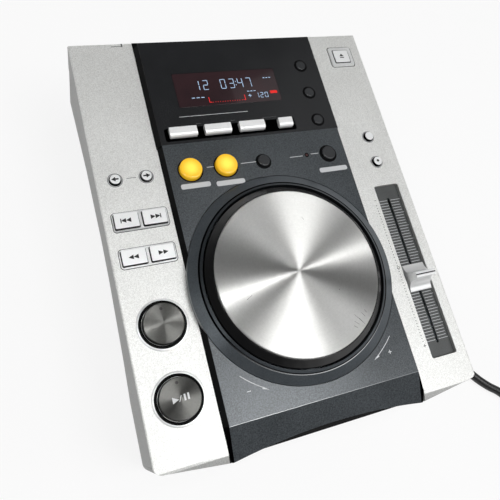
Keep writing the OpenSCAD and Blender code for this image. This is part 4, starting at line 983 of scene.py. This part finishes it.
def addSymbols():
    keyTop = 2.6
    ejectTop = 1.5
    for kind, (middle, y) in bezelPlaces.items():
        for node, side in ((kind + "_back_key", -1), (kind + "_next_key", 1)):
            x = middle + side * keyAside
            marks = [arrow(x + side * s, y, keyTop, 2.9, 3.1, -90 * side) for s in (-1.6, 1.4)]
            if kind == "track":
                marks.append(bar(x + side * 3.5, y, keyTop, 0.6, 2.9))
            printed(titled(node) + "Symbol", marks, printBlack, bodyOf(node))
    for (node, (x, y)), side in zip(folderPlaces.items(), (-1, 1)):
        printed(titled(node) + "Symbol", [
            arrow(x + side * 0.7, y, capTop, 3, 2.5, -90 * side), bar(x - side * 1.1, y, capTop, 2, 0.95),
        ], printBlack, bodyOf(node))
    x, y = ejectPlace
    printed("EjectSymbol", [
        arrow(x, y + 0.7, ejectTop, 3.6, 2.3, 0), bar(x, y - 1.2, ejectTop, 3.6, 0.7),
    ], printDark, bodyOf("eject_button"))
    printed(
        "lockDot", [dot(89.9, 26, capTop, 0.95)], printDark, bodyOf("tempo_lock_button")
    )
    printed("playSymbol", [
        arrow(-90.3, -101, padTop, 3.6, 3.8, -90), bar(-87, -100.7, padTop, 0.4, 3.6, -25),
        bar(-84.4, -100.5, padTop, 1.05, 3.6), bar(-82.3, -100.3, padTop, 1.05, 3.6),
    ], printWhite, bodyOf("play_button"))
    for node, place in (("cue_button", (-86.9, -49.1)), ("play_button", (-87.2, -91.8))):
        printed(
            titled(node) + "Lamp", [dot(*place, padTop, 0.9, 24)], printBlack, bodyOf(node)
        )


def turned(name, outline, steps=96):
    # A closed ring, from a circle that is extruded along its outline of radius and height
    radius, z = outline[0]
    piece = begin(name, "circle", vertices=steps, radius=radius, location=(0, 0, z), fill_type="NOTHING")
    bpy.ops.object.mode_set(mode="EDIT")
    bpy.ops.mesh.select_all(action="SELECT")
    for (r0, z0), (r1, z1) in zip(outline, outline[1:] + outline[:1]):
        bpy.ops.mesh.extrude_edges_move(TRANSFORM_OT_translate={"value": (0, 0, z1 - z0)})
        bpy.ops.transform.resize(value=(r1 / r0, r1 / r0, 1), center_override=(0, 0, z1))
    bpy.ops.object.mode_set(mode="OBJECT")
    tidy(piece, 0.0005)
    return piece


def addButtonRings():
    # Black collars round the dark buttons and round the lit ones
    rings = [("reloopRing", reloopPlace, consoleTop, 4.75), ("beatRing", beatPlace, consoleTop, 5.65)]
    rings += [(f"modeRing{i + 1}", place, panelTop, 4.2) for i, place in enumerate(modePlaces)]
    rings += [(f"amberRing{i + 1}", place, consoleTop, 7.95) for i, place in enumerate(loopPlaces.values())]
    for name, place, z, radius in rings:
        ring = begin(
            name, "torus", location=(*place, z), major_radius=radius, minor_radius=0.4,
            major_segments=48, minor_segments=10,
        )
        ring.scale.z = 0.8
        settle(ring, gapBlack, smooth=60)


# Outlines of turned rings: radius and height
padRing = [(12.35, 0.6), (14.1, 1.1), (14.15, 1.45), (13.9, 1.6), (12.6, 1.6), (12.35, 1.4)]
padSkirt = [(11.98, 0.9), (12.03, 0.9), (12.03, 4.75), (11.98, 4.75)]
collarLip = [(62.78, 8.34), (62.1, 9.07), (61.95, 9.1), (61.5, 9.02), (61.5, 8.6), (62.3, 8.2)]


def addTurnedRings():
    # A black ring in each bezel, the black side of each pad, and the lip of the wheel's collar, painted
    # black as shade but for a painted highlight at its front
    for node, place in padPlaces.items():
        for part, outline, body in (("Ring", padRing, "player"), ("Skirt", padSkirt, bodyOf(node))):
            ring = turned(node.split("_")[0] + part, outline)
            ring.location.x, ring.location.y = place
            settle(ring, gapBlack, body)
    lip = turned("collarLip", collarLip, 160)
    lip.location.y = jogY
    settle(lip, finishes["lip_trim"], smooth=40)


# Each scratch on the wheel's plate: its middle, length and turn
scratches = (
    (29.5, -81.8, 7, 36), (31.2, -83.9, 5, 30), (27.4, -84.2, 3.6, 44), (33.4, -80.2, 3.4, 33),
    (25.9, -86.4, 2.6, 52), (35.6, -78.4, 2.4, 28), (-36, -55, 4.5, -62), (12.5, -12, 2.2, 30),
)


def addScratches():
    printed("plateScratches", [
        bar(x, y, plateTop, 0.22, long, turn) for x, y, long, turn in scratches
    ], printGrey, bodyOf("jog_plate"), 0.012)


def addKnobLine():
    knobTop = 9.99
    printed(
        "knobLine", [bar(90.9, -62.7, knobTop, 15.6, 0.8)], printBlack, bodyOf("tempo_knob")
    )


print("marks")
addTempoScale()
addDisplay()
addPanelMarks()
addConsoleMarks()
addSides()
addStripMarks()
addSymbols()
addButtonRings()
addTurnedRings()
addScratches()
addKnobLine()

print("room")
# The world is bright at the horizon and darker above
world = bpy.context.scene.world or bpy.data.worlds.new("studio")
bpy.context.scene.world = world
sky = Finish("studio", owner=world)
height = sky.parts(sky.node("ShaderNodeTexCoord", output="Generated"))[2]
light = height.ramp(0.08, 0.36, 1, 0.1)
sky.feed(Color=sky.node("ShaderNodeCombineXYZ", None, {0: light, 1: light, 2: light}))

# The floor's own tones, the tone that is seen, how much of what is seen is plain white, and in
# metres the half width, front and rear of the floor under the player
floorLook = {
    "tones": [(164, 164, 164), (170, 170, 170)], "shown": (238, 238, 238), "white": 0.86,
    "under": (0.098, -0.13, 0.128), "soft": 0.008, "size": 8, "height": -0.0004,
}


def paleFloor():
    finish = Finish("paleFloor", Roughness=0.8, Specular_IOR_Level=0.1)
    place = finish.node("ShaderNodeTexCoord", output="Object")
    rays = finish.node("ShaderNodeLightPath", output="Is Camera Ray").socket.node
    seen = [
        Wire(finish, rays.outputs[name])
        for name in ("Is Camera Ray", "Is Glossy Ray", "Is Transmission Ray")
    ]
    dark, light = floorLook["tones"]
    plain = finish.mix(finish.noise(place, 3, 2), tone(*dark), tone(*light))
    finish.feed(Base_Color=finish.mix(seen[0], plain, tone(*floorLook["shown"])))
    # Right under the player the floor is only in its shadow
    half, front, rear = floorLook["under"]
    soft = floorLook["soft"]
    x, y, z, away = finish.parts(place)
    across = x.sum("ABSOLUTE", x).ramp(half, half - soft)
    under = across * y.ramp(front, front + soft) * y.ramp(rear, rear - soft)
    both = finish.node("ShaderNodeMixShader", None, {
        0: (seen[0] + seen[1] + seen[2] > 0.5) * (1 - under) * floorLook["white"],
        1: Wire(finish, finish.shader.outputs[0]),
        2: finish.node("ShaderNodeEmission", None, {"Color": (1, 1, 1, 1), "Strength": 1.0}),
    })
    ending = next(n for n in finish.tree.nodes if n.type == "OUTPUT_MATERIAL")
    finish.join(both, ending.inputs["Surface"])
    return finish.owner


floor = begin("floor", "plane", size=floorLook["size"], location=(0, 0, floorLook["height"]))
floor.data.materials.append(paleFloor())

# Direction from the wheel along the deck, size in metres, turn about that direction, power in watts
lamps = {
    "strip": {"way": (-0.248, 0.082), "size": (1.456, 0.03), "turn": 0.174, "power": 6.3},
    "softbox": {"way": (0.256, -0.217), "size": (0.51, 0.664), "turn": -0.183, "power": 9.3},
    "gleam": {"way": (0.303, 0.312), "size": (0.21, 0.03), "turn": -1.102, "power": 0.45},
    "front": {"way": (0.588, -0.314), "size": (0.869, 0.496), "turn": 0.612, "power": 4.1},
    "left": {"way": (-0.63, -0.26), "size": (0.14, 0.3), "turn": 0, "power": 0.8},
    "rear": {"way": (0.5, 0.45), "size": (0.5, 0.5), "turn": 0, "power": 0.3},
}
lampAway = 1500     # mm from the wheel


def addLamps():
    # Each lamp faces the wheel
    for name, lamp in lamps.items():
        x, y = lamp["way"]
        way = Vector((x, y, math.sqrt(1 - x * x - y * y)))
        across = Vector((0, 1, 0)).cross(way).normalized()
        facing = Matrix((across, way.cross(across), way)).transposed().to_4x4()
        data = bpy.data.lights.new(name, "AREA")
        data.shape = "RECTANGLE"
        data.size, data.size_y = lamp["size"]
        data.energy = lamp["power"]
        lit = bpy.data.objects.new(name, data)
        bpy.context.scene.collection.objects.link(lit)
        lit.location = deckFrame @ (Vector((0, jogY, plateTop)) + way * lampAway)
        aimed = facing @ Matrix.Rotation(lamp["turn"], 4, "Z")
        lit.rotation_euler = (deckFrame.to_quaternion().to_matrix().to_4x4() @ aimed).to_euler()


addLamps()
bpy.context.scene.view_settings.view_transform = "Standard"
